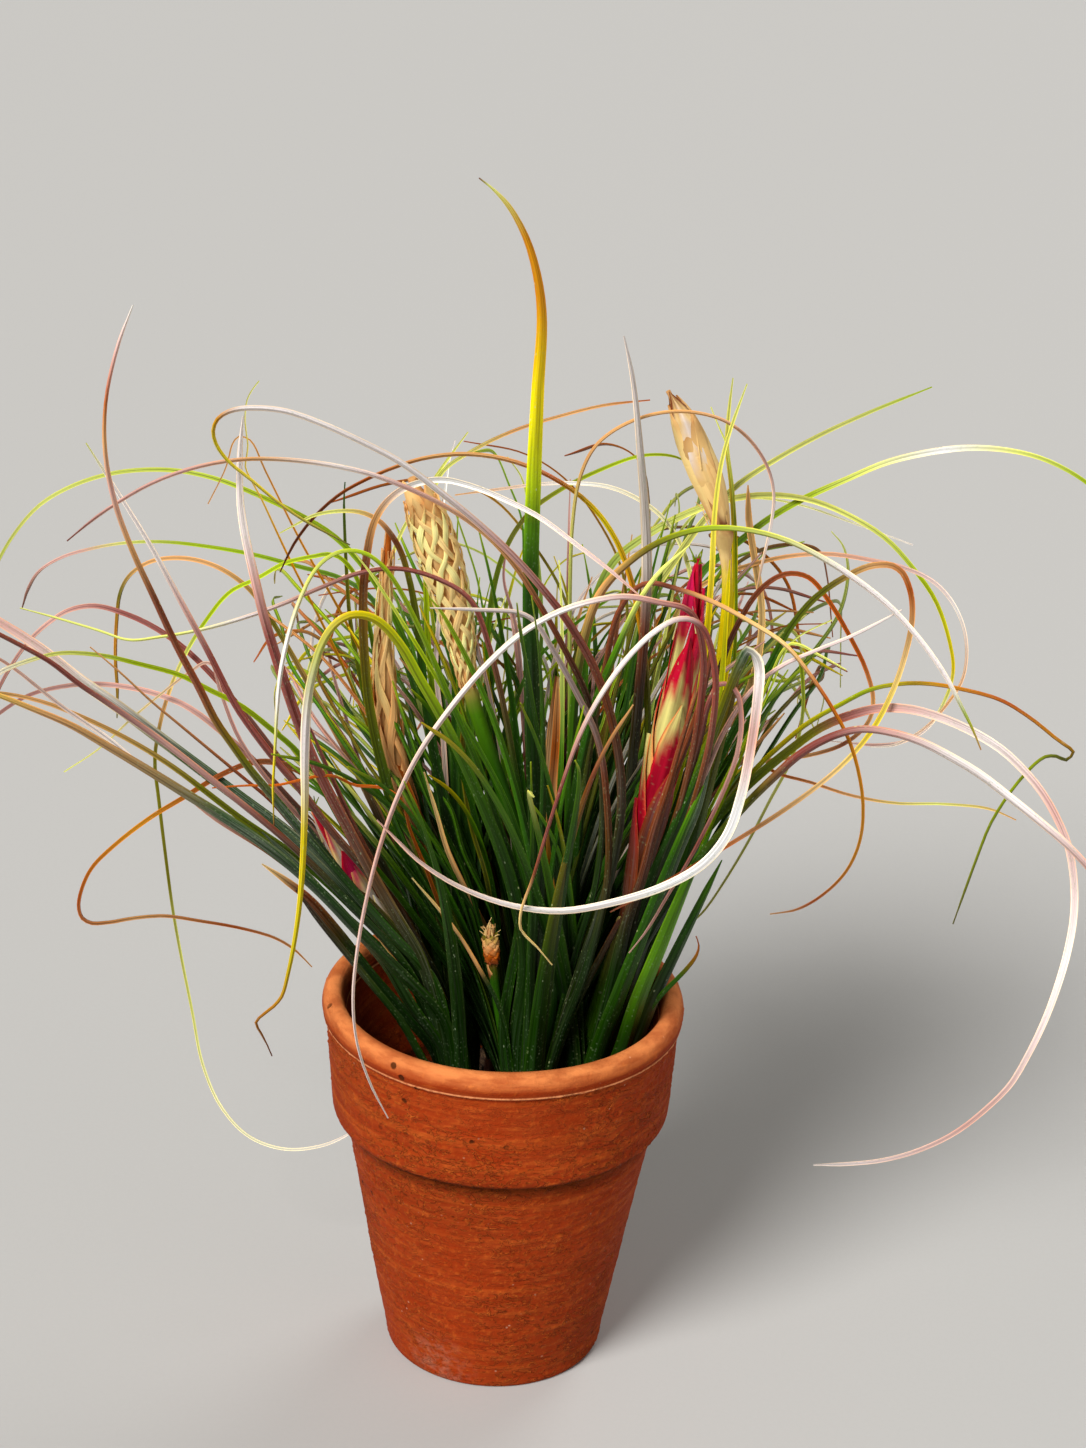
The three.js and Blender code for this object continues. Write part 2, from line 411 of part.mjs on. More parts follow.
// Seeded draws, the same on every run.
class Draws {
  constructor(seed) {
    this.state = (seed * 2654435761) % 4294967296;
    for (let i = 0; i < 3; i++) this.next();
  }

  next() {
    this.state = (1664525 * this.state + 1013904223) % 4294967296;
    return this.state / 4294967296;
  }

  between(low, high) {
    return low + (high - low) * this.next();
  }
}

// The part of a vector that is square to a direction, at unit length.
function squareTo(vector, direction) {
  return vector.clone().addScaledVector(direction, -vector.dot(direction)).normalize();
}

// A smooth route through control points, at even steps, with its direction and the way its flat side
// faces. The side first faces the rosette's axis. Where the leaf is seen to show its flat side to the
// viewer, it turns that way slowly.
function fineRoute(controls, outward, facing) {
  const curve = new THREE.CatmullRomCurve3(controls, false, 'centripetal');
  const dense = [];
  const perSpan = 12;
  for (let i = 0; i <= (controls.length - 1) * perSpan; i++) {
    dense.push(curve.getPoint(i / ((controls.length - 1) * perSpan)));
  }
  const reach = [0];
  for (let i = 1; i < dense.length; i++) reach.push(reach[i - 1] + dense[i].distanceTo(dense[i - 1]));
  const length = reach[reach.length - 1];
  const steps = max(4, round(length / FINE_STEP));
  const places = [];
  let at = 0;
  for (let i = 0; i <= steps; i++) {
    const goal = (length * i) / steps;
    while (at + 2 < dense.length && reach[at + 1] < goal) at++;
    const share = (goal - reach[at]) / (reach[at + 1] - reach[at]);
    places.push(dense[at].clone().lerp(dense[at + 1], min(1, share)));
  }
  const along = places.map((_, i) => {
    return places[min(i + 1, steps)].clone().sub(places[max(i - 1, 0)]).normalize();
  });
  const faces = [];
  const turn = facing ? 1 - exp(-length / steps / FACING_LENGTH) : 0;
  for (let i = 0; i <= steps; i++) {
    const before = i ? faces[i - 1] : point(0, 0, 1).addScaledVector(outward, -1.5);
    const carried = squareTo(before, along[i]);
    const side = sign(carried.dot(viewBack)) || 1;
    faces.push(squareTo(carried.multiplyScalar(1 - turn).addScaledVector(viewBack, side * turn), along[i]));
  }
  return { places, along, faces, length, steps };
}

function bladeWidth(leaf, share) {
  return leaf.tip + (leaf.root - leaf.tip) * (1 - share ** leaf.fullness);
}

// The three corners of a blade's section: both edges of the channelled face, and the keel behind it.
function bladeSection(leaf, i) {
  const { places, along, faces, steps } = leaf.route;
  const width = bladeWidth(leaf, i / steps);
  const across = along[i].clone().cross(faces[i]);
  const rise = CHANNEL * width;
  const depth = max(KEEL.least, KEEL.share * width);
  const edge = places[i].clone().addScaledVector(faces[i], rise);
  return [
    edge.clone().addScaledVector(across, width / 2),
    edge.clone().addScaledVector(across, -width / 2),
    places[i].clone().addScaledVector(faces[i], rise - depth),
  ];
}

// A blade with rows of vertices only where it runs on, bends or twists.
function bladeGeometry(leaf) {
  const { along, faces, length, steps } = leaf.route;
  const limit = leaf.traced ? TRACED_ROWS : RULE_ROWS;
  const cost = [0];
  for (let i = 1; i <= steps; i++) {
    const turn = along[i].angleTo(along[i - 1]);
    const twist = faces[i].angleTo(squareTo(faces[i - 1], along[i]));
    const run = length / steps / limit.length;
    cost.push(cost[i - 1] + run + turn / limit.turn + twist / limit.twist);
  }
  const rows = max(4, ceil(cost[steps]));
  const rings = [];
  let at = 0;
  for (let row = 0; row <= rows; row++) {
    while (at < steps && cost[at] < (cost[steps] * row) / rows) at++;
    rings.push(bladeSection(leaf, at));
  }
  return loft(rings);
}

// Points over a blade's surface, close enough together to tell what it would touch.
function bladeSamples(leaf) {
  const { steps, length } = leaf.route;
  const between = ceil(length / steps / SAMPLE_STEP);
  const samples = [];
  for (let i = 0; i < steps; i++) {
    const here = bladeSection(leaf, i);
    const next = bladeSection(leaf, i + 1);
    const parts = max(1, ceil(bladeWidth(leaf, i / steps) / SAMPLE_STEP));
    for (let j = 0; j < between; j++) {
      const [left, right, keel] = here.map((corner, k) => corner.clone().lerp(next[k], j / between));
      samples.push(keel);
      for (let k = 0; k <= parts; k++) samples.push(left.clone().lerp(right, k / parts));
    }
  }
  return samples;
}

// What space is taken, by which node.
class Space {
  constructor() {
    this.cells = new Map();
  }

  cell(x, y, z) {
    return ((x + 500) * 1000 + (y + 500)) * 1000 + (z + 500);
  }

  add(samples, node) {
    for (const p of samples) {
      const key = this.cell(...this.index(p));
      if (!this.cells.has(key)) this.cells.set(key, []);
      this.cells.get(key).push([p, node]);
    }
  }

  index(p) {
    return [p.x, p.y, p.z].map((value) => floor(value / SAMPLE_CLEARANCE));
  }

  // Whether all the points stay clear of every other node, apart from where allow says otherwise.
  clear(samples, node, allow) {
    const limit = SAMPLE_CLEARANCE ** 2;
    for (const p of samples) {
      const [cx, cy, cz] = this.index(p);
      for (let x = cx - 1; x <= cx + 1; x++) {
        for (let y = cy - 1; y <= cy + 1; y++) {
          for (let z = cz - 1; z <= cz + 1; z++) {
            const near = this.cells.get(this.cell(x, y, z));
            if (!near) continue;
            for (const [q, other] of near) {
              if (other !== node && q.distanceToSquared(p) < limit && !allow(p, other)) return false;
            }
          }
        }
      }
    }
    return true;
  }
}

// The pot's outside and inside radius at a height.
function potOutside(z) {
  if (z < POT.bandBottom) return POT.foot + ((POT.neck - POT.foot) * z) / POT.bandBottom;
  return POT.rim;
}

function potInside(z) {
  const bottom = POT.foot - POT.wall;
  const top = POT.rim - POT.lip;
  return bottom + ((top - bottom) * z) / POT.height;
}

// Whether a point near the pot or the medium is clear of both, for a leaf of the rosette at that place.
function clearOfPot(p, [x, y]) {
  const margin = 1;
  if (p.z > POT.height + margin) return true;
  const radius = hypot(p.x, p.y);
  if (radius > potOutside(p.z) + margin) return p.z > LOWEST_LEAF;
  if (radius > potInside(p.z) - margin) return false;
  return p.z > MEDIUM.chipTop + margin || hypot(p.x - x, p.y - y) < STOCK.radius + GAP;
}

const space = new Space();

function rosettePlace(rosette) {
  const [x, y] = ROSETTES[rosette];
  return point(x, y, STOCK.leafStart);
}

// Depth along a track, from the rosette's own through the depths halfway and at the tip.
function depthAlong(share, root, middle, tip) {
  const pull = 2 * middle - (root + tip) / 2;
  return root * (1 - share) ** 2 + 2 * pull * share * (1 - share) + tip * share ** 2;
}

function trackPoints(start, track, middle, tip) {
  const pixels = [photoPixel(start), ...track];
  const reach = [0];
  for (let i = 1; i < pixels.length; i++) {
    reach.push(reach[i - 1] + hypot(pixels[i][0] - pixels[i - 1][0], pixels[i][1] - pixels[i - 1][1]));
  }
  const length = reach[reach.length - 1];
  return track.map((pixel, i) => photoPoint(pixel, depthAlong(reach[i + 1] / length, start.y, middle, tip)));
}

// Small shifts in depth and sideways, tried in turn from the least, until a traced leaf is clear.
const SHIFTS = [0, 2.5, 5, 7.5, 10, 13, 16, 20, 24, 28];
const LOW_SHIFTS = [[0, 0], [2, 0], [-2, 0], [0, 2], [0, -2], [3.5, 0], [-3.5, 0], [0, 3.5], [0, -3.5]];
function shiftsInOrder() {
  const both = SHIFTS.flatMap((size) => (size ? [size, -size] : [0]));
  const pairs = both.flatMap((middle) => both.map((tip) => ({ middle, tip })));
  const all = pairs.flatMap((pair) => LOW_SHIFTS.map((low) => ({ ...pair, low })));
  const size = ({ middle, tip, low }) => abs(middle) + abs(tip) * 0.6 + hypot(...low) * 1.5;
  return all.sort((a, b) => size(a) - size(b));
}
const ORDERED_SHIFTS = shiftsInOrder();
const MOST_SHIFTS = 900;

function tracedLeaf([name, rosette, root, tip, fullness, middle, end, track], shift) {
  const axis = rosettePlace(rosette);
  const points = trackPoints(axis, track, middle + shift.middle, end + shift.tip);
  const outward = point(points[0].x - axis.x, points[0].y - axis.y, 0).normalize();
  const start = axis.clone().addScaledVector(outward, STOCK.leafRing);
  const low = start.clone().lerp(points[0], 0.28);
  low.z = start.z + (points[0].z - start.z) * 0.42;
  low.x += shift.low[0];
  low.y += shift.low[1];
  const leaf = { name, rosette, root, tip, fullness, traced: true };
  leaf.route = fineRoute([start, low, ...points], outward, true);
  return leaf;
}

// A leaf that follows the rule: it leaves the stock steeply, leans out, and bends over towards its tip.
function ruleLeaf(rosette, index, attempt) {
  const rule = RULE_LEAVES[rosette];
  const order = Object.keys(ROSETTES).indexOf(rosette);
  const draws = new Draws(1 + order * 10007 + index * 101 + attempt);
  const rank = (index + 0.5) / rule.count;
  const axis = rosettePlace(rosette);
  const across = 2 * ((GOLDEN_SHARE * index) % 1) - 1;
  let heading = degrees(rule.towards + rule.fan * across + draws.between(-20, 20));
  const outward = point(cos(heading), sin(heading), 0);
  const lean = degrees(rule.lean[0] + (rule.lean[1] - rule.lean[0]) * rank + draws.between(-6, 6));
  const bend = degrees(rule.bend[0] + (rule.bend[1] - rule.bend[0]) * draws.next() * (0.4 + 0.6 * rank));
  const length = draws.between(...rule.length);
  const veer = degrees(draws.between(-50, 50));
  const stretch = 12;
  const controls = [axis.clone().addScaledVector(outward, STOCK.leafRing)];
  for (let i = 0; i < stretch; i++) {
    const share = (i + 0.5) / stretch;
    const angle = lean * min(1, 0.25 + share * 2.2) + bend * share ** 2.2;
    heading += (veer / stretch) * 2 * share;
    const step = point(cos(heading) * sin(angle), sin(heading) * sin(angle), cos(angle));
    controls.push(controls[i].clone().addScaledVector(step, length / stretch));
  }
  const fullness = draws.between(1.3, 2.6);
  const leaf = { name: `rule_${index}`, rosette, tip: RULE_TIP_WIDTH, fullness, traced: false };
  leaf.root = draws.between(...RULE_WIDTH);
  leaf.route = fineRoute(controls, outward, false);
  return leaf;
}

// Whether a leaf keeps clear of the pot and of every other node. Low down, a rosette's own leaves may
// come near its own flower stem, which is cut free of them afterwards.
function fits(leaf, samples) {
  const place = ROSETTES[leaf.rosette];
  if (!samples.every((p) => clearOfPot(p, place))) return false;
  const own = (p, other) => other === `stem_${leaf.rosette}` && p.z < OWN_STEM_TOP;
  return space.clear(samples, `rosette_${leaf.rosette}`, own);
}

function keep(leaf, leaves) {
  const samples = bladeSamples(leaf);
  if (!fits(leaf, samples)) return false;
  space.add(samples, `rosette_${leaf.rosette}`);
  leaves.push(leaf);
  return true;
}

// A flower stem with its spike: a slim stem that swells to a spindle, with bracts in rows along it.
function spikeRoute(spike) {
  const [x, y] = ROSETTES[spike.rosette];
  const bottom = point(x, y, STEM.bottom);
  const top = point(x, y, STEM.straightTop);
  const between = bottom.clone().lerp(top, 0.5);
  const points = trackPoints(top, spike.track, ...spike.depth);
  return fineRoute([bottom, between, top, ...points], point(0, -1, 0), false);
}

function spikeRadius(spike, share) {
  if (share < spike.from) return STEM.radius;
  const along = (share - spike.from) / (1 - spike.from);
  return STEM.radius + (spike.radius - STEM.radius) * sin(PI * min(1, along * 1.05 + 0.12)) ** 0.8;
}

function ringAround(route, i, radius, sides, angle = 0) {
  const across = route.along[i].clone().cross(route.faces[i]);
  return Array.from({ length: sides }, (_, k) => {
    const turn = angle + (2 * PI * k) / sides;
    return route.places[i].clone().addScaledVector(across, radius * cos(turn))
      .addScaledVector(route.faces[i], radius * sin(turn));
  });
}

// The slim body that the bracts stand out of.
function spikeCore(spike, route, extra) {
  const rows = [];
  const straight = floor((spike.from * route.steps) / 5);
  for (let i = 0; i < route.steps - 3; i += i < spike.from * route.steps ? straight : 5) rows.push(i);
  rows.push(route.steps);
  const rings = rows.map((i) => {
    const share = i / route.steps;
    const slim = share < spike.from ? 1 : SPIKE_CORE_SHARE * (share < 1 ? 1 : 0.6);
    const body = max(SPIKE_CORE_LEAST, spikeRadius(spike, share) * slim);
    return ringAround(route, i, body + extra, STEM.sides);
  });
  return loft(rings);
}

// One bract: a keeled, pointed scale that leaves the body, follows it and ends just clear of it.
function bract(spike, route, index) {
  const first = spike.from * route.steps - 2;
  const last = route.steps - (spike.length / FINE_STEP) * 0.9;
  const begin = first + ((last - first) * index) / (spike.bracts - 1);
  const turn = (2 * PI * index) / spike.rows + 0.35 * floor(index / spike.rows);
  const rings = BRACT_SHAPE.map(([share, broad, lift]) => {
    const at = min(route.steps, max(0, round(begin + (share * spike.length) / FINE_STEP)));
    const body = spikeRadius(spike, at / route.steps);
    const across = route.along[at].clone().cross(route.faces[at]);
    const out = across.multiplyScalar(cos(turn)).addScaledVector(route.faces[at], sin(turn));
    const side = route.along[at].clone().cross(out);
    const width = body * broad;
    const thick = max(0.8, body * 0.45 * (1 - 0.5 * share));
    const middle = route.places[at].clone().addScaledVector(out, body * (lift + spike.stand * share));
    return [
      middle.clone().addScaledVector(side, width / 2).addScaledVector(out, -thick),
      middle.clone().addScaledVector(out, thick * 0.4),
      middle.clone().addScaledVector(side, -width / 2).addScaledVector(out, -thick),
    ];
  });
  return loft(rings);
}

function spikeSamples(spike, route) {
  const samples = [];
  for (let i = 0; i < route.steps; i++) {
    const radius = spikeRadius(spike, i / route.steps) * (i / route.steps < spike.from ? 1 : 1.3);
    const sides = ceil((2 * PI * radius) / SAMPLE_STEP);
    for (const share of [0, 1 / 3, 2 / 3]) {
      const here = ringAround(route, i, radius, sides);
      const next = ringAround(route, i + 1, radius, sides);
      samples.push(...here.map((p, k) => p.clone().lerp(next[k], share)));
    }
  }
  return samples;
}

// The pot: a turned shell with a rounded lip over a fine ridge, a deep band and a rounded foot.
function potProfile() {
  const { height, rim, lip, bandBottom, neck, foot, wall, drainHole } = POT;
  const inside = potInside(POT.floor);
  const ridge = height - lip;
  const footStart = POT.footRounding * 0.3;
  return [
    [drainHole, 0],
    [foot - POT.footRounding, 0],
    [foot - footStart, footStart],
    [foot + 0.3, POT.footRounding],
    [neck, bandBottom - 1.2],
    [POT.bandBottomRadius - 1, bandBottom - 0.9],
    [POT.bandBottomRadius - 0.1, bandBottom + 0.7],
    [POT.bandTopRadius, ridge - 0.9],
    [rim - 0.35, ridge - 0.3],
    [rim - 0.3, ridge + 0.4],
    [rim, ridge + 1.6],
    [rim - 0.7, height - 1.2],
    [rim - 2.3, height],
    [rim - lip + 0.9, height - 0.6],
    [rim - lip, height - 2.6],
    [rim - lip - 1, ridge - 3],
    [potInside(bandBottom), bandBottom],
    [inside, POT.floor + wall * 0.4],
    [inside - wall * 0.4, POT.floor],
    [drainHole, POT.floor],
    [drainHole, 0],
  ];
}

// The medium: a plug that fits the pot, with bark chips bedded in its top and a hole for each rosette.
function mediumSolid() {
  const low = POT.floor + GAP;
  const plug = lathe([
    [0, low],
    [potInside(low) - GAP - 2.2, low],
    [potInside(low + 3) - 2 * GAP - 0.3, low + 3],
    [potInside(MEDIUM.top) - 2 * GAP - 0.3, MEDIUM.top],
    [0, MEDIUM.top],
  ], MEDIUM.sides);
  const draws = new Draws(77);
  const chips = [];
  for (let i = 0; i < MEDIUM.chips; i++) {
    const radius = (potInside(MEDIUM.top) - MEDIUM.chipSize * 0.75) * sqrt((i + 0.5) / MEDIUM.chips);
    const angle = degrees(GOLDEN_ANGLE * i);
    const size = MEDIUM.chipSize * draws.between(0.7, 1.15);
    const chip = new THREE.BoxGeometry(size, size * draws.between(0.45, 0.8), size * 0.42);
    chip.deleteAttribute('normal');
    chip.deleteAttribute('uv');
    const shaped = mergeVertices(chip, 1e-4);
    const corners = shaped.getAttribute('position');
    for (let k = 0; k < corners.count; k++) {
      const shrink = draws.between(0.72, 1);
      corners.setXYZ(k, corners.getX(k) * shrink, corners.getY(k) * shrink, corners.getZ(k) * shrink);
    }
    shaped.rotateX(draws.between(-MEDIUM.chipTilt, MEDIUM.chipTilt));
    shaped.rotateY(draws.between(-MEDIUM.chipTilt, MEDIUM.chipTilt));
    shaped.rotateZ(draws.between(0, PI));
    shaped.translate(radius * cos(angle), radius * sin(angle), MEDIUM.top + draws.between(0.2, 1.4));
    chips.push(solid(shaped));
  }
  let body = join([solid(plug), ...chips]);
  for (const [x, y] of Object.values(ROSETTES)) {
    const hole = new THREE.CylinderGeometry(STOCK.radius + 2 * GAP, STOCK.radius + 2 * GAP, 30, 12);
    hole.rotateX(PI / 2).translate(x, y, STOCK.bottom - GAP + 15);
    body = body.subtract(solid(hole));
  }
  return body;
}

// A rosette: its stock with all its leaves sunk in it, cut free of its flower stem.
function rosetteSolid(rosette, leaves, stem) {
  const [x, y] = ROSETTES[rosette];
  const { bottom, shoulder, top, radius, bore, sides } = STOCK;
  const stock = lathe([[bore, bottom], [radius, bottom], [radius, shoulder], [radius - 1.4, top], [bore, top],
    [bore, bottom]], sides);
  stock.translate(x, y, 0);
  const blades = leaves.filter((leaf) => leaf.rosette === rosette).map((leaf) => solid(bladeGeometry(leaf)));
  return join([solid(stock), ...blades]).subtract(stem);
}

const COLOURS = {
  pot: [0xc46a38, 0.85],
  growing_medium: [0x3a2c20, 0.95],
  rosette_centre: [0x5f7a26, 0.6],
  rosette_left: [0x8a7358, 0.65],
  rosette_right: [0x9a8a55, 0.65],
  rosette_front: [0x77902f, 0.6],
  rosette_back_left: [0x86963c, 0.6],
  rosette_back_right: [0x97a340, 0.6],
  flower_spike_right: [0xc01246, 0.55],
  flower_spike_left: [0xd2335f, 0.55],
  dry_spike_braided: [0xd9b47c, 0.8],
  dry_spike_tall: [0xe0c79a, 0.8],
  dry_spike_narrow: [0xcba36a, 0.8],
  scape_stub: [0xb79a55, 0.8],
};

function buildPlant() {
  const group = new THREE.Group();
  const addNode = (name, body) => {
    const [color, roughness] = COLOURS[name];
    const material = new THREE.MeshStandardMaterial({ color, roughness, metalness: 0 });
    const mesh = new THREE.Mesh(geometryOf(body), material);
    mesh.name = name;
    group.add(mesh);
  };

  addNode('pot', solid(lathe(potProfile(), POT.sides)));
  addNode('growing_medium', mediumSolid());

  const stems = {};
  for (const [name, spike] of Object.entries(SPIKES)) {
    const route = spikeRoute(spike);
    space.add(spikeSamples(spike, route), `stem_${spike.rosette}`);
    stems[spike.rosette] = solid(spikeCore(spike, route, GAP + 0.05));
    const bracts = Array.from({ length: spike.bracts }, (_, i) => solid(bract(spike, route, i)));
    addNode(name, join([solid(spikeCore(spike, route, 0)), ...bracts]));
  }

  const leaves = [];
  for (const traced of TRACED_LEAVES) {
    ORDERED_SHIFTS.slice(0, MOST_SHIFTS).some((shift) => keep(tracedLeaf(traced, shift), leaves));
  }
  const most = max(...Object.values(RULE_LEAVES).map((rule) => rule.count));
  for (let index = 0; index < most; index++) {
    for (const rosette of Object.keys(ROSETTES)) {
      if (index >= RULE_LEAVES[rosette].count) continue;
      for (let attempt = 0; attempt < TRIES; attempt++) {
        const leaf = ruleLeaf(rosette, index, attempt);
        const seemly = (p) => abs(p.y) < FURTHEST_DEPTH && insideOutline(photoPixel(p), CROWD_OUTLINE);
        if (!leaf.route.places.every(seemly)) continue;
        if (keep(leaf, leaves)) break;
      }
    }
  }
  for (const rosette of Object.keys(ROSETTES)) {
    addNode(`rosette_${rosette}`, rosetteSolid(rosette, leaves, stems[rosette]));
  }
  return group;
}

export default buildPlant();
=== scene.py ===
"""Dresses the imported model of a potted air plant: finer leaves, flower spikes, bark and a turned clay pot."""

import math
from collections import namedtuple

import bpy
import numpy as np
from bpy.props import FloatProperty, FloatVectorProperty, IntProperty, PointerProperty
from mathutils import Matrix, Vector, kdtree, noise


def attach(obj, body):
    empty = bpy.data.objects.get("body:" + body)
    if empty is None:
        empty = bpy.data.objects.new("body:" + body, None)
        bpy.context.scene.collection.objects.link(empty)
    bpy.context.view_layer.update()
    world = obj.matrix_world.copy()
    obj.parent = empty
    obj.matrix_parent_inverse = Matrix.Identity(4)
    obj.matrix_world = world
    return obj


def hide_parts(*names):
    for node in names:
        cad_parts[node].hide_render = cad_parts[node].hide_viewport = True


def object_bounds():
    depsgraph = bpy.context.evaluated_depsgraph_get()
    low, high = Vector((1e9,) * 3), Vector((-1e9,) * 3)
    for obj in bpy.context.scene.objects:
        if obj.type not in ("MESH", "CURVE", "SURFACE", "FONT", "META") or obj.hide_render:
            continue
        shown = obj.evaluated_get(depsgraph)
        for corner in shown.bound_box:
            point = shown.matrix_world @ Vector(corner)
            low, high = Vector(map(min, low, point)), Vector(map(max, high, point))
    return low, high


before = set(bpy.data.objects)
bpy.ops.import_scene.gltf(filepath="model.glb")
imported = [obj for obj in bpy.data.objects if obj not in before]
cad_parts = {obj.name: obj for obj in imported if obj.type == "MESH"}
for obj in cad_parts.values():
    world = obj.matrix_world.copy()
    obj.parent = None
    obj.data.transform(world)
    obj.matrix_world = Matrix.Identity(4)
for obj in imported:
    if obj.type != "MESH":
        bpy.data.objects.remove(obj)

bl_info = {
    "name": "Potted air plant",
    "version": (1, 0, 0),
    "blender": (4, 5, 0),
    "location": "3D View > Sidebar > Plant",
    "description": "Makes the leaves, flower spikes, bark and pot of a potted air plant over its CAD frame",
    "category": "Add Mesh",
}

CAD_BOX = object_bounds()
MM = 0.001

# The measures that the CAD model was built with, in millimetres.
GAP = 0.3
POT = {"height": 87.5, "rim": 40, "lip": 5, "band_bottom": 59.5, "band_bottom_radius": 37.4,
       "band_top_radius": 38.9, "neck": 34.5, "foot": 24.4, "foot_rounding": 3.2, "wall": 5, "floor": 6.5,
       "drain_hole": 5}
MEDIUM_TOP = 56
STOCK = {"bottom": 50, "shoulder": 62, "top": 68, "radius": 5, "leaf_start": 60, "leaf_ring": 3.3}
STEM_STRAIGHT_TOP = 72
ROSETTES = {"centre": (8, 3), "left": (-8, -7), "right": (17, -5), "front": (6, -13), "back_left": (1, 14),
            "back_right": (15, 15)}

# How the photograph was taken: aim (mm), distance (mm), focal length in pixels, tilt and roll in degrees.
AIM = (6.4, 0, 150.5)
DISTANCE = 700
FOCAL = 3334
TILT = 23.77
ROLL = 2.1
PICTURE = (1086, 1448)

# One leaf's line: name, width at the root and at the tip (mm), how long the blade keeps its width, depth
# halfway and at the tip (mm), its shades from the root to the tip, and its track in the photograph's pixels.
Line = namedtuple("Line", "name root tip fullness middle end shades track")

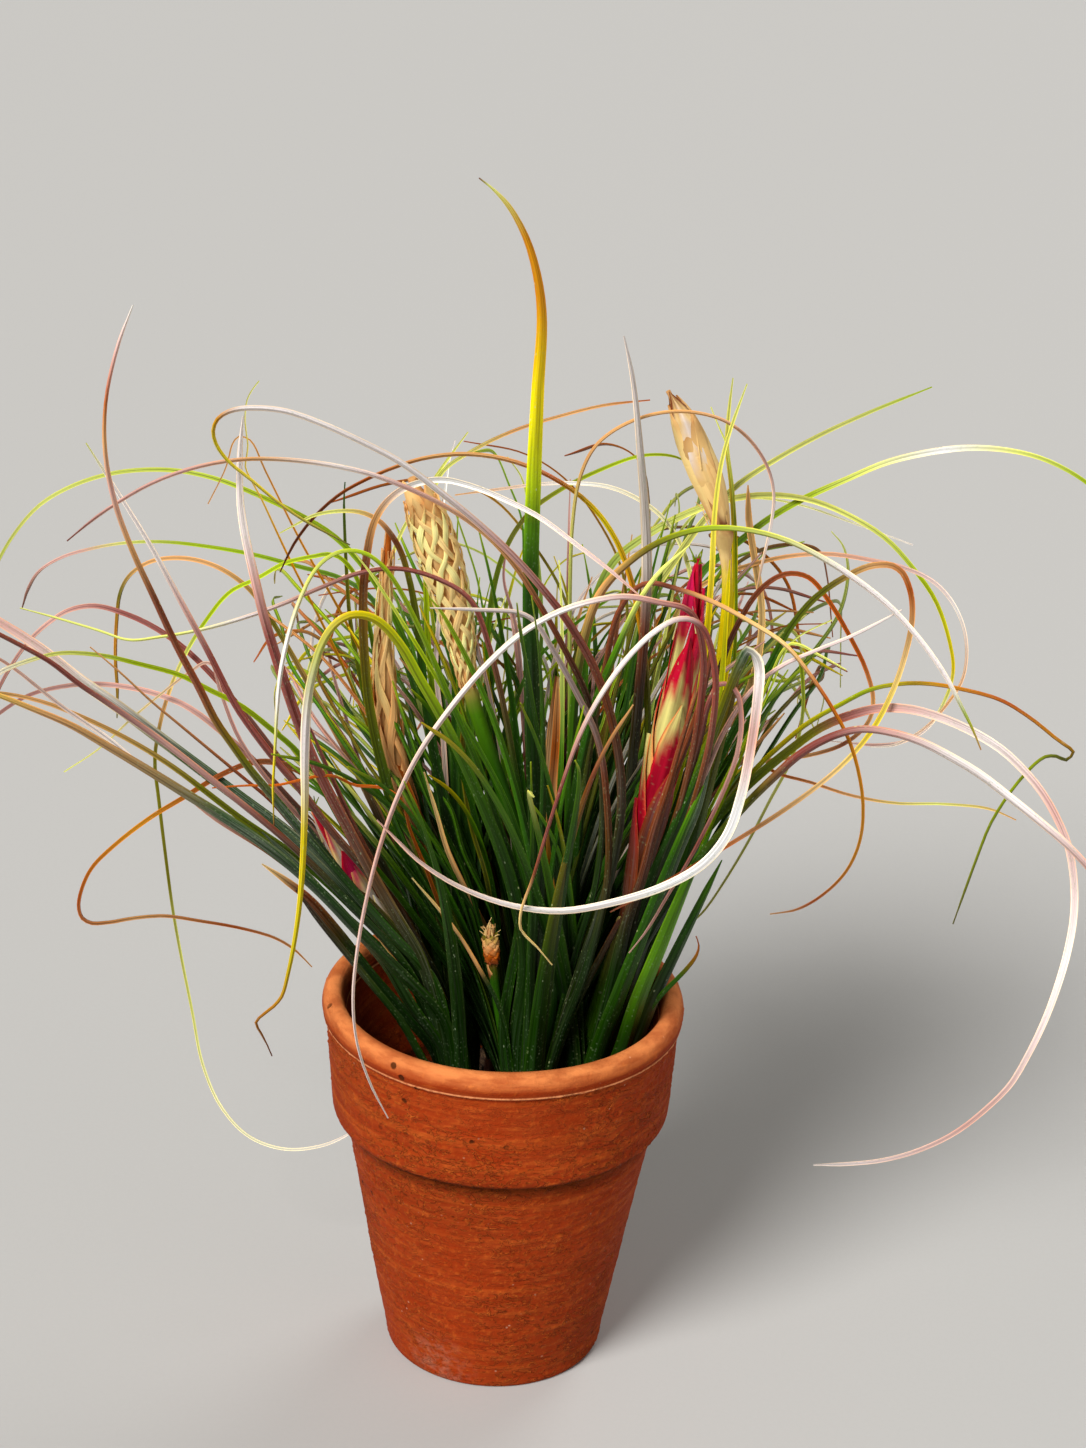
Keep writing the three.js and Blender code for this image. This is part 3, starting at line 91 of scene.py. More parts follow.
# The leaves told apart in the photograph, as in the CAD model, by rosette.
TRACED_LEAVES = {"centre": [
    ("tall_yellow", 4.2, 0.7, 4.5, -6, -10,
     "deep 0 deep .5 green .6 leaf .65 lime .69 yellow .78 gold .87 gold .93 pale .99 brown 1",
     "556,1040 548,980 541,880 535,780 532,680 531,580 534,480 538,390 542,320 538,280 527,240 510,208 "
     "494,190 479,178"),
    ("pale_straight_right", 4.2, 0.8, 0.9, 10, 26, "deep 0 green .35 leaf .52 pale .62 pale .9 lime 1",
     "595,950 605,850 618,750 632,660 650,598 675,560 700,525 735,487 775,460 820,435 870,412 932,387"),
    ("white_down_right", 4.4, 0.9, 1.2, -10, -38,
     "deep 0 green .3 leaf .45 tan .55 olive .62 lime .68 pale .74 white .8 white .94 lime .97 tan 1",
     "572,950 570,850 572,750 580,660 600,595 630,562 665,540 705,529 745,530 785,540 820,557 855,579 "
     "890,607 920,640 945,675 962,708 973,730 981,750"),
    ("orange_drop_right", 3.2, 0.8, 0.9, -16, -50,
     "deep 0 green .3 brown .5 brown .6 tan .63 straw .7 orange .76 gold .83 gold .9 orange .96 tan 1",
     "573,950 578,850 590,750 605,670 620,610 645,584 680,590 715,603 750,622 785,645 810,675 832,708 "
     "848,738 858,770 863,805 860,840 847,870 825,893 798,909 770,914"),
    ("dark_wide", 4.6, 0.8, 1.7, 2, 10,
     "deep 0 deep .4 green .65 olive .78 brown .83 tan .87 pale .92 pale 1",
     "500,1000 475,920 450,830 435,760 425,700 420,650 415,610 408,575 400,550 390,533 378,520 360,512 "
     "340,511 315,515 295,525 280,533"),
    ("thread_far_left", 2.8, 0.7, 0.9, 0, 6,
     "green 0 green .35 rose .5 rose .64 pink .72 white .78 pale .84 pale 1",
     "535,960 525,840 510,740 490,650 470,600 440,580 400,569 360,573 320,588 280,605 240,619 200,630 "
     "160,637 128,640 100,631 60,619 20,608"),
    ("thin_hoop", 2.4, 0.7, 1.4, 6, 4, "green 0 leaf .35 pale .58 tan .66 tan .78 pink .86 white .93 tan 1",
     "562,960 568,840 570,720 570,600 573,520 580,478 595,447 620,427 655,414 690,412 725,421 750,440 "
     "768,468 774,495 771,525 763,560 755,598"),
    ("dry_bract", 3.6, 1.2, 3, 9, 12, "tan 0 straw .5 brown 1",
     "540,960 543,880 546,800 550,740 554,700 556,676"),
], "left": [
    ("orange_tall", 4.4, 0.8, 1, -26, -40,
     "deep 0 deep .35 grey .45 olive .52 brown .6 brown .71 tan .77 pink .82 tan .87 orange .91 pink .95 "
     "white 1",
     "430,980 395,940 360,900 330,865 300,830 275,800 250,770 232,745 215,720 200,690 176,645 155,600 "
     "132,550 114,500 105,450 106,400 118,345 133,305"),
    ("silver_left", 4.8, 1.1, 2, 2, 12, "deep 0 deep .25 grey .4 grey .55 silver .68 pink .82 white 1",
     "440,985 400,942 360,900 320,862 280,828 240,798 200,768 160,738 120,708 80,680 40,648 0,622 -60,588 "
     "-115,562 -160,549"),
    ("green_left_low", 4.6, 1.1, 1.6, -26, -56, "deep 0 deep .35 grey .6 tan .85 yellow 1",
     "440,1020 400,975 360,935 320,893 270,850 230,822 190,797 150,772 110,748 70,725 30,708 0,696 -40,683 "
     "-80,676"),
    ("white_upright", 4.2, 1, 1.2, -20, -22,
     "deep 0 umber .22 brown .35 rose .5 rose .74 pink .81 white .87 white 1",
     "420,960 380,900 350,850 325,800 308,760 295,720 283,680 272,645 262,610 255,580 248,550 243,525 "
     "240,500 240,450 243,416"),
    ("olive_to_white", 4.4, 0.8, 1.4, 0, -4,
     "deep 0 green .3 olive .48 brown .62 tan .68 white .74 white .88 pink 1",
     "455,1000 425,910 400,830 383,770 370,710 364,650 363,600 366,560 374,522 388,500 408,486 440,479 "
     "470,485 505,499 540,517 575,543 610,570 640,596"),
    ("orange_loop_left", 3, 0.8, 0.9, 6, 18,
     "deep 0 brown .3 orange .5 gold .6 orange .72 tan .8 orange .9 tan 1",
     "400,900 360,830 320,785 285,765 256,762 225,773 183,798 150,818 115,845 92,868 81,892 79,910 86,922 "
     "105,923 135,918 165,916 200,921 240,928 275,938 295,950 312,967"),
    ("green_arch_left", 3.6, 1.2, 1.3, -18, -44,
     "deep 0 green .25 leaf .45 lime .6 lime .75 pale .85 white .93 orange 1",
     "380,900 340,820 300,755 270,728 240,705 210,690 180,675 140,664 100,655 60,653 30,660 0,672 -30,694 "
     "-58,724"),
    ("pink_arch_low", 2.8, 1, 1, 10, 30, "deep 0 deep .25 rose .45 pink .65 rose 1",
     "390,925 340,855 290,800 250,757 225,735 200,715 180,703 150,692 120,686 90,684 60,687 30,695 0,713 "
     "-28,738 -50,770"),
    ("olive_left_low", 3.2, 0.9, 1.2, -10, -20, "deep 0 green .3 olive .6 tan .85 olive 1",
     "400,960 350,905 300,860 240,818 210,795 180,772 150,752 120,735 80,716 40,701 0,693 -45,692 -80,700"),
    ("pink_left_straight", 3.2, 1, 1.2, -34, -76, "deep 0 deep .36 rose .48 pink .65 rose .78 brown 1",
     "410,975 350,905 290,845 230,795 160,740 110,705 80,685 50,662 25,648 0,635 -45,614 -85,600"),
    ("thin_left_straight", 2.6, 0.8, 0.8, -16, -36, "deep 0 deep .34 brown .45 pink .58 white .7 orange 1",
     "420,990 370,938 320,893 270,853 215,818 180,790 140,765 110,740 60,705 12,667 -20,648 -60,628"),
    ("silver_pink_thin", 2.8, 0.8, 0.8, -12, -10,
     "deep 0 deep .3 rose .45 rose .72 pink .78 white .84 white .95 pale 1",
     "420,960 380,890 330,830 300,790 275,760 252,730 235,705 208,652 180,600 150,545 118,493 100,465 "
     "86,443"),
    ("frayed_short_left", 3.6, 1.8, 2, -2, -6, "deep 0 deep .6 brown .85 straw 1",
     "430,1045 400,1010 370,975 340,935 310,900 285,880 262,864"),
], "right": [
    ("white_front_ring", 4.6, 0.8, 1.3, -30, -52,
     "deep 0 deep .25 green .36 olive .47 grey .5 white .53 pink .58 white .64 white .85 pink 1",
     "615,980 645,900 675,830 700,770 722,710 740,665 750,650 758,665 757,700 750,750 741,795 727,835 "
     "703,864 665,886 615,902 560,911 510,905 460,887 420,862 395,838 377,820"),
    ("white_front_arc", 3.6, 0.6, 0.8, -32, -50,
     "deep 0 umber .15 brown .3 rose .43 rose .47 pink .51 white .56 white .65 pink .78 white 1",
     "620,970 655,880 685,790 700,710 703,650 690,612 660,603 625,597 590,602 555,614 520,635 485,667 "
     "450,709 420,752 398,796 382,840 369,888 358,945 353,1000 357,1043 370,1083 388,1118"),
    ("white_front_curl", 3.4, 0.7, 0.9, -34, -46,
     "deep 0 umber .25 brown .42 rose .56 rose .6 white .65 white .72 pink .76 rose .81 rose .86 brown .9 "
     "straw .94 straw 1",
     "630,970 665,880 695,800 712,730 715,670 700,625 680,619 655,632 628,658 600,697 580,735 562,785 "
     "547,832 533,878 521,912 521,930 536,946 552,965"),
    ("big_loop_right", 4.4, 0.9, 1, -26, -102,
     "deep 0 deep .16 green .24 olive .38 rose .41 pink .45 white .52 pink .59 white .7 pink .85 white 1",
     "620,960 650,900 680,865 705,832 735,798 765,770 795,746 820,728 850,715 880,708 910,709 940,717 "
     "970,730 1000,748 1022,768 1042,792 1057,818 1068,845 1074,880 1074,915 1068,950 1058,985 1045,1020 "
     "1028,1055 1010,1085 985,1110 955,1133 920,1150 885,1160 850,1164 814,1165"),
    ("big_arch_right", 4.6, 1.3, 0.9, -36, -62,
     "deep 0 deep .2 green .35 olive .45 rose .51 rose .56 pink .62 white .67 white .75 pink .85 white 1",
     "625,980 665,910 700,860 740,812 775,777 800,755 830,738 860,730 890,733 920,742 950,757 980,775 "
     "1010,798 1040,822 1070,848 1100,882 1128,928 1150,980 1162,1030"),
    ("olive_loop_right", 4.6, 1.1, 0.6, -10, -34,
     "deep 0 deep .25 green .46 olive .54 tan .58 orange .62 straw .68 yellow .74 straw .79 tan .85 orange "
     ".9 brown 1",
     "630,970 665,890 695,820 722,755 748,705 770,665 790,628 815,598 845,577 875,565 898,568 910,590 "
     "912,620 905,655 893,690 872,730 845,762 812,790 775,816 735,841 695,865 655,888 610,912"),
    ("thin_fold_right", 3, 0.8, 0.8, 0, -4,
     "deep 0 green .25 umber .42 brown .5 orange .55 orange .63 tan .67 brown .71 tan .76 orange .79 tan .87 "
     "pale .93 tan 1",
     "625,960 655,870 685,780 710,700 735,630 760,590 785,574 808,577 828,600 850,637 866,670 873,700 "
     "868,722 845,743 810,755 780,759 764,762 775,772 810,782 850,795 895,803 945,804 990,809 1016,820"),
    ("brown_front_bow", 3.2, 0.6, 1.2, -20, -34, "deep 0 deep .3 umber .5 rose .62 pink .72 rose .85 pink 1",
     "620,970 650,890 680,810 700,740 710,700 722,683 735,690 741,715 738,750 726,785 710,820 690,858 "
     "668,895 647,930 629,953"),
    ("yellow_lean", 3.4, 0.9, 1.8, 2, 8, "deep 0 green .25 lime .45 yellow .7 pale 1",
     "610,970 640,890 668,810 690,730 705,650 712,570 715,510 722,460 732,425 747,384"),
    ("pale_short_right", 2.8, 0.8, 1.1, -14, -30, "deep 0 green .3 pink .7 white 1",
     "625,970 660,880 695,800 725,730 752,690 780,667 815,651 850,637 880,622 902,610"),
    ("short_rim_right", 3.2, 0.6, 1.6, -12, -18, "deep 0 deep .4 green .8 orange 1",
     "640,1026 659,998 678,978 692,962 699,948 696,936"),
], "front": [
    ("white_arch_hook", 4.6, 0.8, 0.8, -28, -40,
     "deep 0 umber .15 umber .3 brown .44 rose .53 pink .6 white .67 white .83 gold .85 yellow .87 yellow "
     ".92 olive 1",
     "585,960 610,880 622,800 613,725 595,670 570,625 545,592 515,558 480,525 440,492 400,462 360,441 "
     "320,423 285,411 252,408 230,411 216,421 213,434 218,448 230,463 250,479 275,500 300,518 325,532 "
     "350,545"),
    ("drooper_front", 4.2, 0.7, 2, -32, -58,
     "deep 0 green .25 leaf .42 lime .52 yellow .6 pale .64 white .7 white .73 yellow .79 yellow .9 gold .95 "
     "brown 1",
     "525,960 515,900 500,850 480,800 460,755 440,715 420,680 400,645 380,623 365,616 350,616 335,625 "
     "322,645 314,670 308,700 305,750 305,800 303,860 299,910 293,950 287,978 282,996 270,1010 256,1021 "
     "265,1040 272,1056"),
    ("drooper_thin", 3.2, 0.7, 1.1, -22, -38,
     "deep 0 green .3 leaf .5 lime .7 pale .76 white .82 white .88 pale .91 yellow .94 yellow .98 brown 1",
     "520,900 500,830 480,770 450,700 420,630 390,575 370,556 355,551 340,552 325,560 312,575 300,600 "
     "290,630 281,670 277,710 275,750 273,790 274,825"),
    ("brown_arch", 3.6, 0.8, 0.8, -20, -34,
     "deep 0 green .2 umber .35 umber .44 brown .54 tan .62 pink .7 white .76 tan .83 pink .88 pink .95 rose "
     "1",
     "575,960 597,880 603,790 590,705 565,650 540,605 515,566 485,534 450,509 410,489 370,474 330,465 "
     "290,460 250,459 215,463 180,472 150,484 120,501 95,518 67,541"),
    ("green_centre_wide", 4.8, 1, 2, -16, -20, "deep 0 deep .4 green .7 leaf .82 pale .92 pale 1",
     "557,1000 557,940 563,880 572,820 582,760 597,700 617,650 640,600 660,572 690,545"),
    ("pale_diagonal", 4.2, 0.9, 1.4, -13, -14, "deep 0 green .5 leaf .68 lime .85 pale 1",
     "540,960 530,880 510,810 480,750 450,700 420,650 395,610 372,575 355,553"),
    ("olive_diagonal", 4.2, 1.2, 2, -17, -20, "deep 0 deep .4 green .6 leaf .85 lime 1",
     "545,960 540,900 528,840 510,770 490,710 465,655 440,610 430,598"),
    ("tan_thin_top", 3, 0.8, 1.6, -22, -26, "deep 0 deep .3 brown .6 white 1",
     "590,960 608,880 607,800 598,740 575,690 550,645 535,622 520,613 480,610 430,608"),
], "back_left": [
    ("green_arch_off_left", 3.8, 0.9, 0.8, 28, 58, "deep 0 green .25 leaf .42 lime .6 pale .85 lime 1",
     "500,980 475,880 450,780 425,700 400,630 370,575 335,537 300,515 260,496 220,480 180,471 140,470 "
     "105,475 70,487 40,505 15,533 -5,568 -18,606 -24,640"),
    ("green_arch_tip_left", 3.4, 0.7, 0.8, 44, 104,
     "deep 0 green .3 leaf .5 lime .72 pale .8 pink .86 pink .92 brown 1",
     "490,960 460,850 430,740 400,650 370,597 340,578 300,567 255,555 210,547 165,542 125,543 90,549 60,558 "
     "38,572 27,590 22,608"),
    ("long_thread_left", 2.8, 0.8, 1.2, 22, 24,
     "deep 0 green .3 lime .42 lime .5 pale .53 tan .56 olive .6 olive .7 pale .8 white 1",
     "450,960 410,840 385,720 370,630 355,575 335,555 310,557 285,563 258,578 230,592 205,622 185,655 "
     "170,690 160,725 155,760 159,800 165,850 173,910 182,960 192,1010 203,1065 222,1108 250,1137 285,1149 "
     "320,1146 345,1136 360,1126"),
    ("tan_arch", 4, 0.8, 0.7, 24, 48,
     "deep 0 rose .3 tan .45 olive .58 tan .68 tan .76 olive .82 gold .88 olive 1",
     "440,960 405,880 375,810 345,750 320,705 295,660 270,618 250,590 225,571 200,561 175,558 150,562 "
     "130,575 120,593 116,625 115,660 117,690 117,718"),
    ("pink_arch_high", 3, 1, 1, 20, 44, "deep 0 deep .25 rose .4 rose .7 pink .8 rose 1",
     "430,980 380,900 330,830 280,760 240,708 210,673 180,645 150,625 120,612 95,606 70,610 50,622 30,640 "
     "10,668 -6,700 -14,735"),
    ("thin_top_arc", 2.8, 0.8, 1.4, 20, 20, "green 0 leaf .4 lime .6 pale .76 tan .84 tan .94 orange 1",
     "480,950 450,820 433,700 426,600 428,530 440,475 475,449 515,430 560,416 605,405 650,400"),
    ("olive_arc_back", 3.8, 0.9, 1.1, 30, 56, "deep 0 green .3 leaf .55 olive .75 lime .9 olive 1",
     "505,950 495,820 487,700 490,610 505,550 530,512 560,490 600,470 640,456 672,456 695,466"),
    ("thread_upright_left", 2.6, 0.8, 1.8, 28, 44, "green 0 leaf .5 olive .8 green 1",
     "450,940 410,830 380,750 365,700 357,660 350,620 347,580 345,540 344,500 345,482"),
    ("thin_diagonal", 2.6, 0.8, 1.8, 20, 26, "green 0 leaf .5 pale .75 pale 1",
     "440,950 405,840 385,740 378,660 383,590 400,535 425,493 445,463 468,432"),
], "back_right": [
    ("silver_straight", 3.8, 0.8, 2.5, 3, 0,
     "deep 0 umber .55 brown .64 silver .72 silver .84 white .92 white 1",
     "612,990 618,920 622,860 629,800 638,710 646,610 647,560 645,510 641,460 633,380 624,336"),
    ("orange_arch_high", 3.8, 0.8, 0.8, 12, 10,
     "deep 0 green .3 olive .45 gold .55 yellow .62 orange .68 tan .74 tan .8 orange .86 brown .92 brown 1",
     "622,940 640,840 648,740 645,660 636,600 622,553 605,522 585,500 560,482 530,467 495,457 460,454 "
     "425,458 395,467 365,480 340,494 315,516 295,542 280,572"),
    ("green_arch_off_right", 4.2, 1.1, 0.9, 28, 60,
     "deep 0 green .35 leaf .52 lime .6 pale .66 white .73 pale .8 lime .88 pink 1",
     "625,960 645,880 660,790 668,700 680,620 703,572 735,545 770,518 805,498 845,480 885,463 925,453 "
     "965,448 1005,450 1040,458 1075,475 1105,498 1135,528 1158,562"),
    ("yellow_hook_right", 4.2, 0.7, 1.1, 16, 40,
     "deep 0 green .3 leaf .4 pale .55 pale .68 lime .76 yellow .85 pale .88 white .91 pink .96 white 1",
     "598,950 590,840 585,740 585,660 595,600 615,560 650,533 690,512 730,499 770,495 810,500 850,516 "
     "885,538 912,567 935,600 949,640 953,672 945,700 928,727 905,741 875,745 850,743 828,741"),
    ("yellow_arch_right", 3.8, 0.8, 0.6, -6, -28,
     "deep 0 green .2 leaf .3 lime .38 yellow .46 lime .56 gold .64 orange .7 gold .76 olive .79 lime .84 "
     "olive 1",
     "630,980 665,900 700,840 730,800 760,765 785,742 810,722 840,705 870,690 900,684 930,684 960,689 "
     "1000,700 1030,718 1055,738 1074,754 1066,760 1052,755 1040,760 1020,780 1005,800 990,825 978,855 "
     "967,885 958,910 953,924"),
    ("yellow_upright", 3.8, 1, 2, 14, 24, "deep 0 green .25 yellow .42 yellow .8 pale 1",
     "620,960 655,880 690,800 715,720 730,640 735,560 732,490 727,445 729,410 733,378"),
    ("white_arc_back", 2.6, 0.7, 1.4, 24, 34, "green 0 leaf .4 pale .65 white .85 tan 1",
     "640,930 670,800 690,690 695,610 685,555 665,520 640,500 610,487 575,483 540,484 500,489 455,495"),
    ("thin_arch_right", 2.8, 0.7, 0.8, 12, 28, "green 0 leaf .3 tan .6 pink .72 white .8 tan .9 white 1",
     "600,950 620,850 640,750 660,660 685,600 715,578 750,565 790,556 830,554 870,560 905,568 935,583 "
     "955,607 966,640 963,678 948,703 925,728 895,745 870,747"),
    ("thin_right_drop", 2.6, 0.7, 1, 18, 26, "deep 0 green .3 leaf .5 lime .62 pale .75 pale 1",
     "640,950 685,850 730,760 765,690 785,650 797,655 803,690 801,725 790,762 770,800 748,842 724,882 "
     "703,912 683,930"),
    ("dry_stick", 2.4, 1.8, 3, 22, 32, "brown 0 tan .5 straw .8 tan 1",
     "640,940 690,830 730,740 758,660 762,610 755,560 749,520 748,485"),
]}

# Fine loose leaves that only this scene has, by rosette and without a name.
LOOSE_LEAVES = {"centre": [
    (2.6, 0.9, 2, -4, -8, "deep 0 deep .45 tan .6 straw 1",
     "510,1000 490,940 465,890 447,850 436,812 424,772"),
], "left": [
    (2.4, 0.4, 1, 4, 20, "deep 0 rose .4 pink .7 pale 1",
     "400,930 340,860 280,795 240,740 220,690 210,662 190,672 160,695 130,720 100,748 64,772"),
    (2.2, 0.4, 1, -16, -30, "green 0 brown .4 brown .7 tan 1",
     "410,950 350,880 295,828 270,800 240,775 210,750 180,725 150,700 120,672 90,647"),
    (2, 0.4, 1, -20, -32, "deep 0 orange .5 orange 1",
     "455,960 430,880 410,830 400,798 380,787 355,785 330,775 275,785 250,785 212,788"),
    (4.6, 1.4, 2, -12, -18, "deep 0 deep .5 umber 1",
     "421,1060 398,1020 370,985 346,955 322,925 296,890"),
    (4.6, 1.2, 2, -18, -24, "deep 0 deep .5 grey .8 grey 1",
     "440,1050 412,1010 385,965 355,930 326,898 296,864 262,832"),
    (4.6, 1.2, 1.6, -14, -22, "deep 0 deep .6 grey .8 grey 1",
     "450,1040 425,990 396,950 362,912 330,876 300,846 270,818"),
    (4.4, 1, 2, -17, -22, "deep 0 deep .6 grey 1",
     "452,1030 428,985 398,945 366,905 338,870 315,838 296,808"),
    (2.8, 0.8, 1.6, -4, -8, "deep 0 umber .3 brown .6 rose 1",
     "445,1000 424,955 400,910 378,872 358,835 341,798 324,760 306,718"),
    (2.6, 0.8, 1.6, -8, -10, "deep 0 umber .35 rose .7 pink 1",
     "446,1010 420,968 394,925 372,886 354,850 338,815 320,775"),
], "right": [
    (2.4, 0.4, 1, -4, -10, "green 0 leaf .4 lime .8 pale 1",
     "640,960 690,850 740,750 770,690 791,643 810,630 832,620"),
    (2.2, 0.4, 1, -8, -16, "green 0 leaf .4 lime .8 pale 1",
     "650,960 700,850 740,760 765,690 791,643 820,655 846,670"),
    (5.4, 1.4, 2.6, -19, -24, "deep 0 green .3 leaf .55 leaf .75 green 1",
     "618,1064 640,1000 660,950 676,910 692,872 712,830"),
    (5.2, 1.6, 3, -13, -16, "deep 0 deep .35 green .6 olive .85 brown 1",
     "655,960 684,880 702,810 718,750 731,700 742,650"),
    (4.4, 1, 2, -17, -20, "deep 0 deep .28 umber .45 brown .7 brown .9 rose 1",
     "622,990 640,900 655,830 672,780 690,735 704,690 711,652 706,628"),
    (4, 1, 2, -19, -24, "deep 0 deep .35 umber .5 brown .8 brown 1",
     "612,990 628,920 642,880 655,830 668,790 679,750 690,715 699,688"),
    (4.6, 1, 2, -16, -22, "deep 0 deep .4 grey .8 olive 1",
     "632,980 660,900 680,850 697,810 708,765 716,720 724,690"),
    (4.2, 1, 1.6, -5, -8, "deep 0 green .4 lime .7 yellow 1",
     "640,980 672,900 693,819 705,780 714,740 722,680 727,604 730,560"),
    (4.8, 1.4, 2.4, -22, -28, "deep 0 green .5 green .8 leaf 1",
     "600,1050 622,990 645,930 664,880 684,830 704,785"),
    (4.8, 1.4, 2.4, -14, -18, "deep 0 deep .5 green .8 leaf 1",
     "634,1050 655,1000 676,955 700,905 722,860"),
], "front": [
    (1.6, 0.5, 1.5, -20, -26, "deep 0 deep .58 tan .64 straw 1",
     "500,1010 480,970 458,933 436,905 412,878"),
    (3.4, 1.6, 3, -2, 4, "deep 0 brown .45 gold .6 tan .72 orange .84 tan 1",
     "548,1000 549,900 552,794 556,740 558,677"),
], "back_left": [
    (1.8, 0.4, 1, 26, 30, "green 0 olive .4 gold .75 pale 1",
     "440,900 390,780 340,660 290,560 262,500 245,465 248,450 245,420 248,397 259,381"),
    (1.8, 0.4, 1, 30, 36, "green 0 olive .4 gold .7 tan 1",
     "450,900 410,760 350,630 300,540 265,470 250,440 237,437 225,470 208,504"),
], "back_right": [
    (2.2, 0.5, 1.4, 16, 20, "green 0 leaf .4 lime .8 pale 1",
     "640,960 690,850 722,750 735,650 736,560 735,520 733,490 730,465 726,443 718,425 711,407"),
    (2.4, 0.4, 1, 30, 48, "green 0 leaf .4 pale .8 white 1",
     "620,940 635,830 640,720 645,630 665,560 700,510 750,498 800,505 850,522 913,545"),
]}

# Leaves that the scene draws otherwise than the CAD model: root width and fullness, and the track of the one
# that runs a little beside its CAD line.
REDRAWN = {
    "white_upright": (3.2, 3.4), "long_thread_left": (1.9, 1.2), "thin_hoop": (1.8, 1.4),
    "pale_diagonal": (3.1, 1.4), "white_arch_hook": (4.2, 0.8), "brown_arch": (3.1, 0.8),
    "pale_straight_right": (5, 1.3), "silver_pink_thin": (3.4, 1.5), "olive_diagonal": (3.2, 2),
    "green_arch_left": (2.4, 1.3), "big_loop_right": (3.9, 1),
}
REDRAWN_TRACKS = {
    "white_upright": "420,960 396,918 370,872 346,826 320,776 300,728 284,682 272,645 262,610 255,580 "
                     "248,550 243,525 240,500 240,450 243,416",
}

# Flower spikes on the CAD model's lines: depth halfway and at the tip (mm), bracts, rows, how far a bract
# stands off, its length (mm), the body's radius (mm) at shares of the spike's length, and the track in pixels.
SPIKES = {
    "flower_spike_right": {
        "rosette": "right", "depth": (-10, -10), "bracts": 13, "rows": 3, "stand": 0.14, "length": 34,
        "body": ((0.42, 1.6), (0.5, 2.8), (0.62, 3.7), (0.75, 3.9), (0.86, 3), (0.95, 1.8), (1, 1)),
        "track": "612,960 636,880 654,810 668,740 682,670 690,620 698,558"},
    "flower_spike_left": {
        "rosette": "left", "depth": (-10, -16), "bracts": 9, "rows": 2, "stand": 0.16, "length": 26,
        "body": ((0.34, 1.6), (0.46, 2.2), (0.6, 2.5), (0.78, 2.4), (0.9, 1.7), (1, 0.8)),
        "track": "440,1000 400,950 370,905 345,865 325,830 311,806"},
    "dry_spike_braided": {
        "rosette": "centre", "depth": (6, 3), "bracts": 18, "rows": 2, "stand": 0.02, "length": 15,
        "strands": 9,
        "body": ((0.69, 1.6), (0.73, 2.2), (0.77, 3.1), (0.83, 4), (0.89, 4.5), (0.94, 4.1), (1, 2.6)),
        "track": "546,960 522,850 492,760 470,690 457,620 441,560 426,515 412,478",
        "stem": "deep 0 deep .3 green .56 leaf .66 tan .72 straw .8 tan 1"},
    "dry_spike_tall": {
        "rosette": "back_right", "depth": (13, 11), "bracts": 0, "stand": 0, "ruffle": 0.12, "wide": 1.9,
        "body": ((0.79, 1.1), (0.82, 2.6), (0.85, 3.3), (0.89, 3.7), (0.93, 3.3), (0.96, 2.6), (0.985, 1.4),
                 (1, 0.4)),
        "track": "620,930 668,830 705,740 723,640 727,580 722,530 712,492 695,450 681,415 668,391",
        "stem": "green 0 leaf .5 yellow .66 yellow .74 straw .8 tan 1"},
    "dry_spike_narrow": {
        "rosette": "back_left", "depth": (10, 6), "bracts": 9, "rows": 2, "stand": 0.1, "length": 18,
        "strands": 5, "body": ((0.5, 1.6), (0.57, 1.9), (0.66, 2.6), (0.76, 2.5), (0.84, 1.5), (1, 0.8)),
        "track": "470,960 430,860 398,770 386,700 383,640 386,580 389,530",
        "stem": "deep 0 green .4 brown .52 tan .6 orange 1", "strand": "brown 0 tan .4 straw .8 tan 1"},
    "scape_stub": {
        "rosette": "front", "depth": (-14, -14), "bracts": 5, "rows": 3, "stand": 0.2, "length": 4.5,
        "strands": 5, "body": ((0.86, 1), (0.9, 1.2), (0.95, 1.3), (1, 0.8)),
        "track": "508,1050 497,1000 489,926",
        "stem": "deep 0 green .6 green .82 brown .88 tan 1", "strand": "brown 0 orange .3 tan .7 olive 1"},
}
# Shares of a bract's length, and at each how broad it is and how far it lies from the spike's middle, both in
# radii of the spike's body.
BRACT_SHAPE = ((0, 0.35, 0.72, 1), (1.2, 2.1, 1.5, 0.3), (0.4, 0.66, 0.84, 0.9))
# The live spikes' bracts: up to which share of them, shades from foot to tip, and margin.
LIVE_BRACTS = {
    "flower_spike_right": (
        (0.17, "umber 0 brown .4 rose .75 crimson 1", "brown"),
        (0.46, "umber 0 crimson .25 crimson .7 cream .85 cream 1", "crimson"),
        (0.6, "crimson 0 crimson .2 cream .35 cream .75 crimson .88 crimson 1", "crimson"),
        (0.8, "crimson 0 cream .2 cream .58 crimson .68 crimson 1", "crimson"),
        (1, "cream 0 cream .42 crimson .52 magenta 1", "crimson"),
    ),
    "flower_spike_left": (
        (0.4, "leaf 0 yellow .3 straw .6 white 1", "cream"),
        (1, "yellow 0 straw .2 white .5 straw .7 magenta .8 magenta 1", "straw"),
    ),
}
# The left live spike's two side lobes: share of the spike where each starts, turn (rad) and length (mm).
SIDE_LOBES = ((0.75, -2.5, 12), (0.66, -0.9, 13))
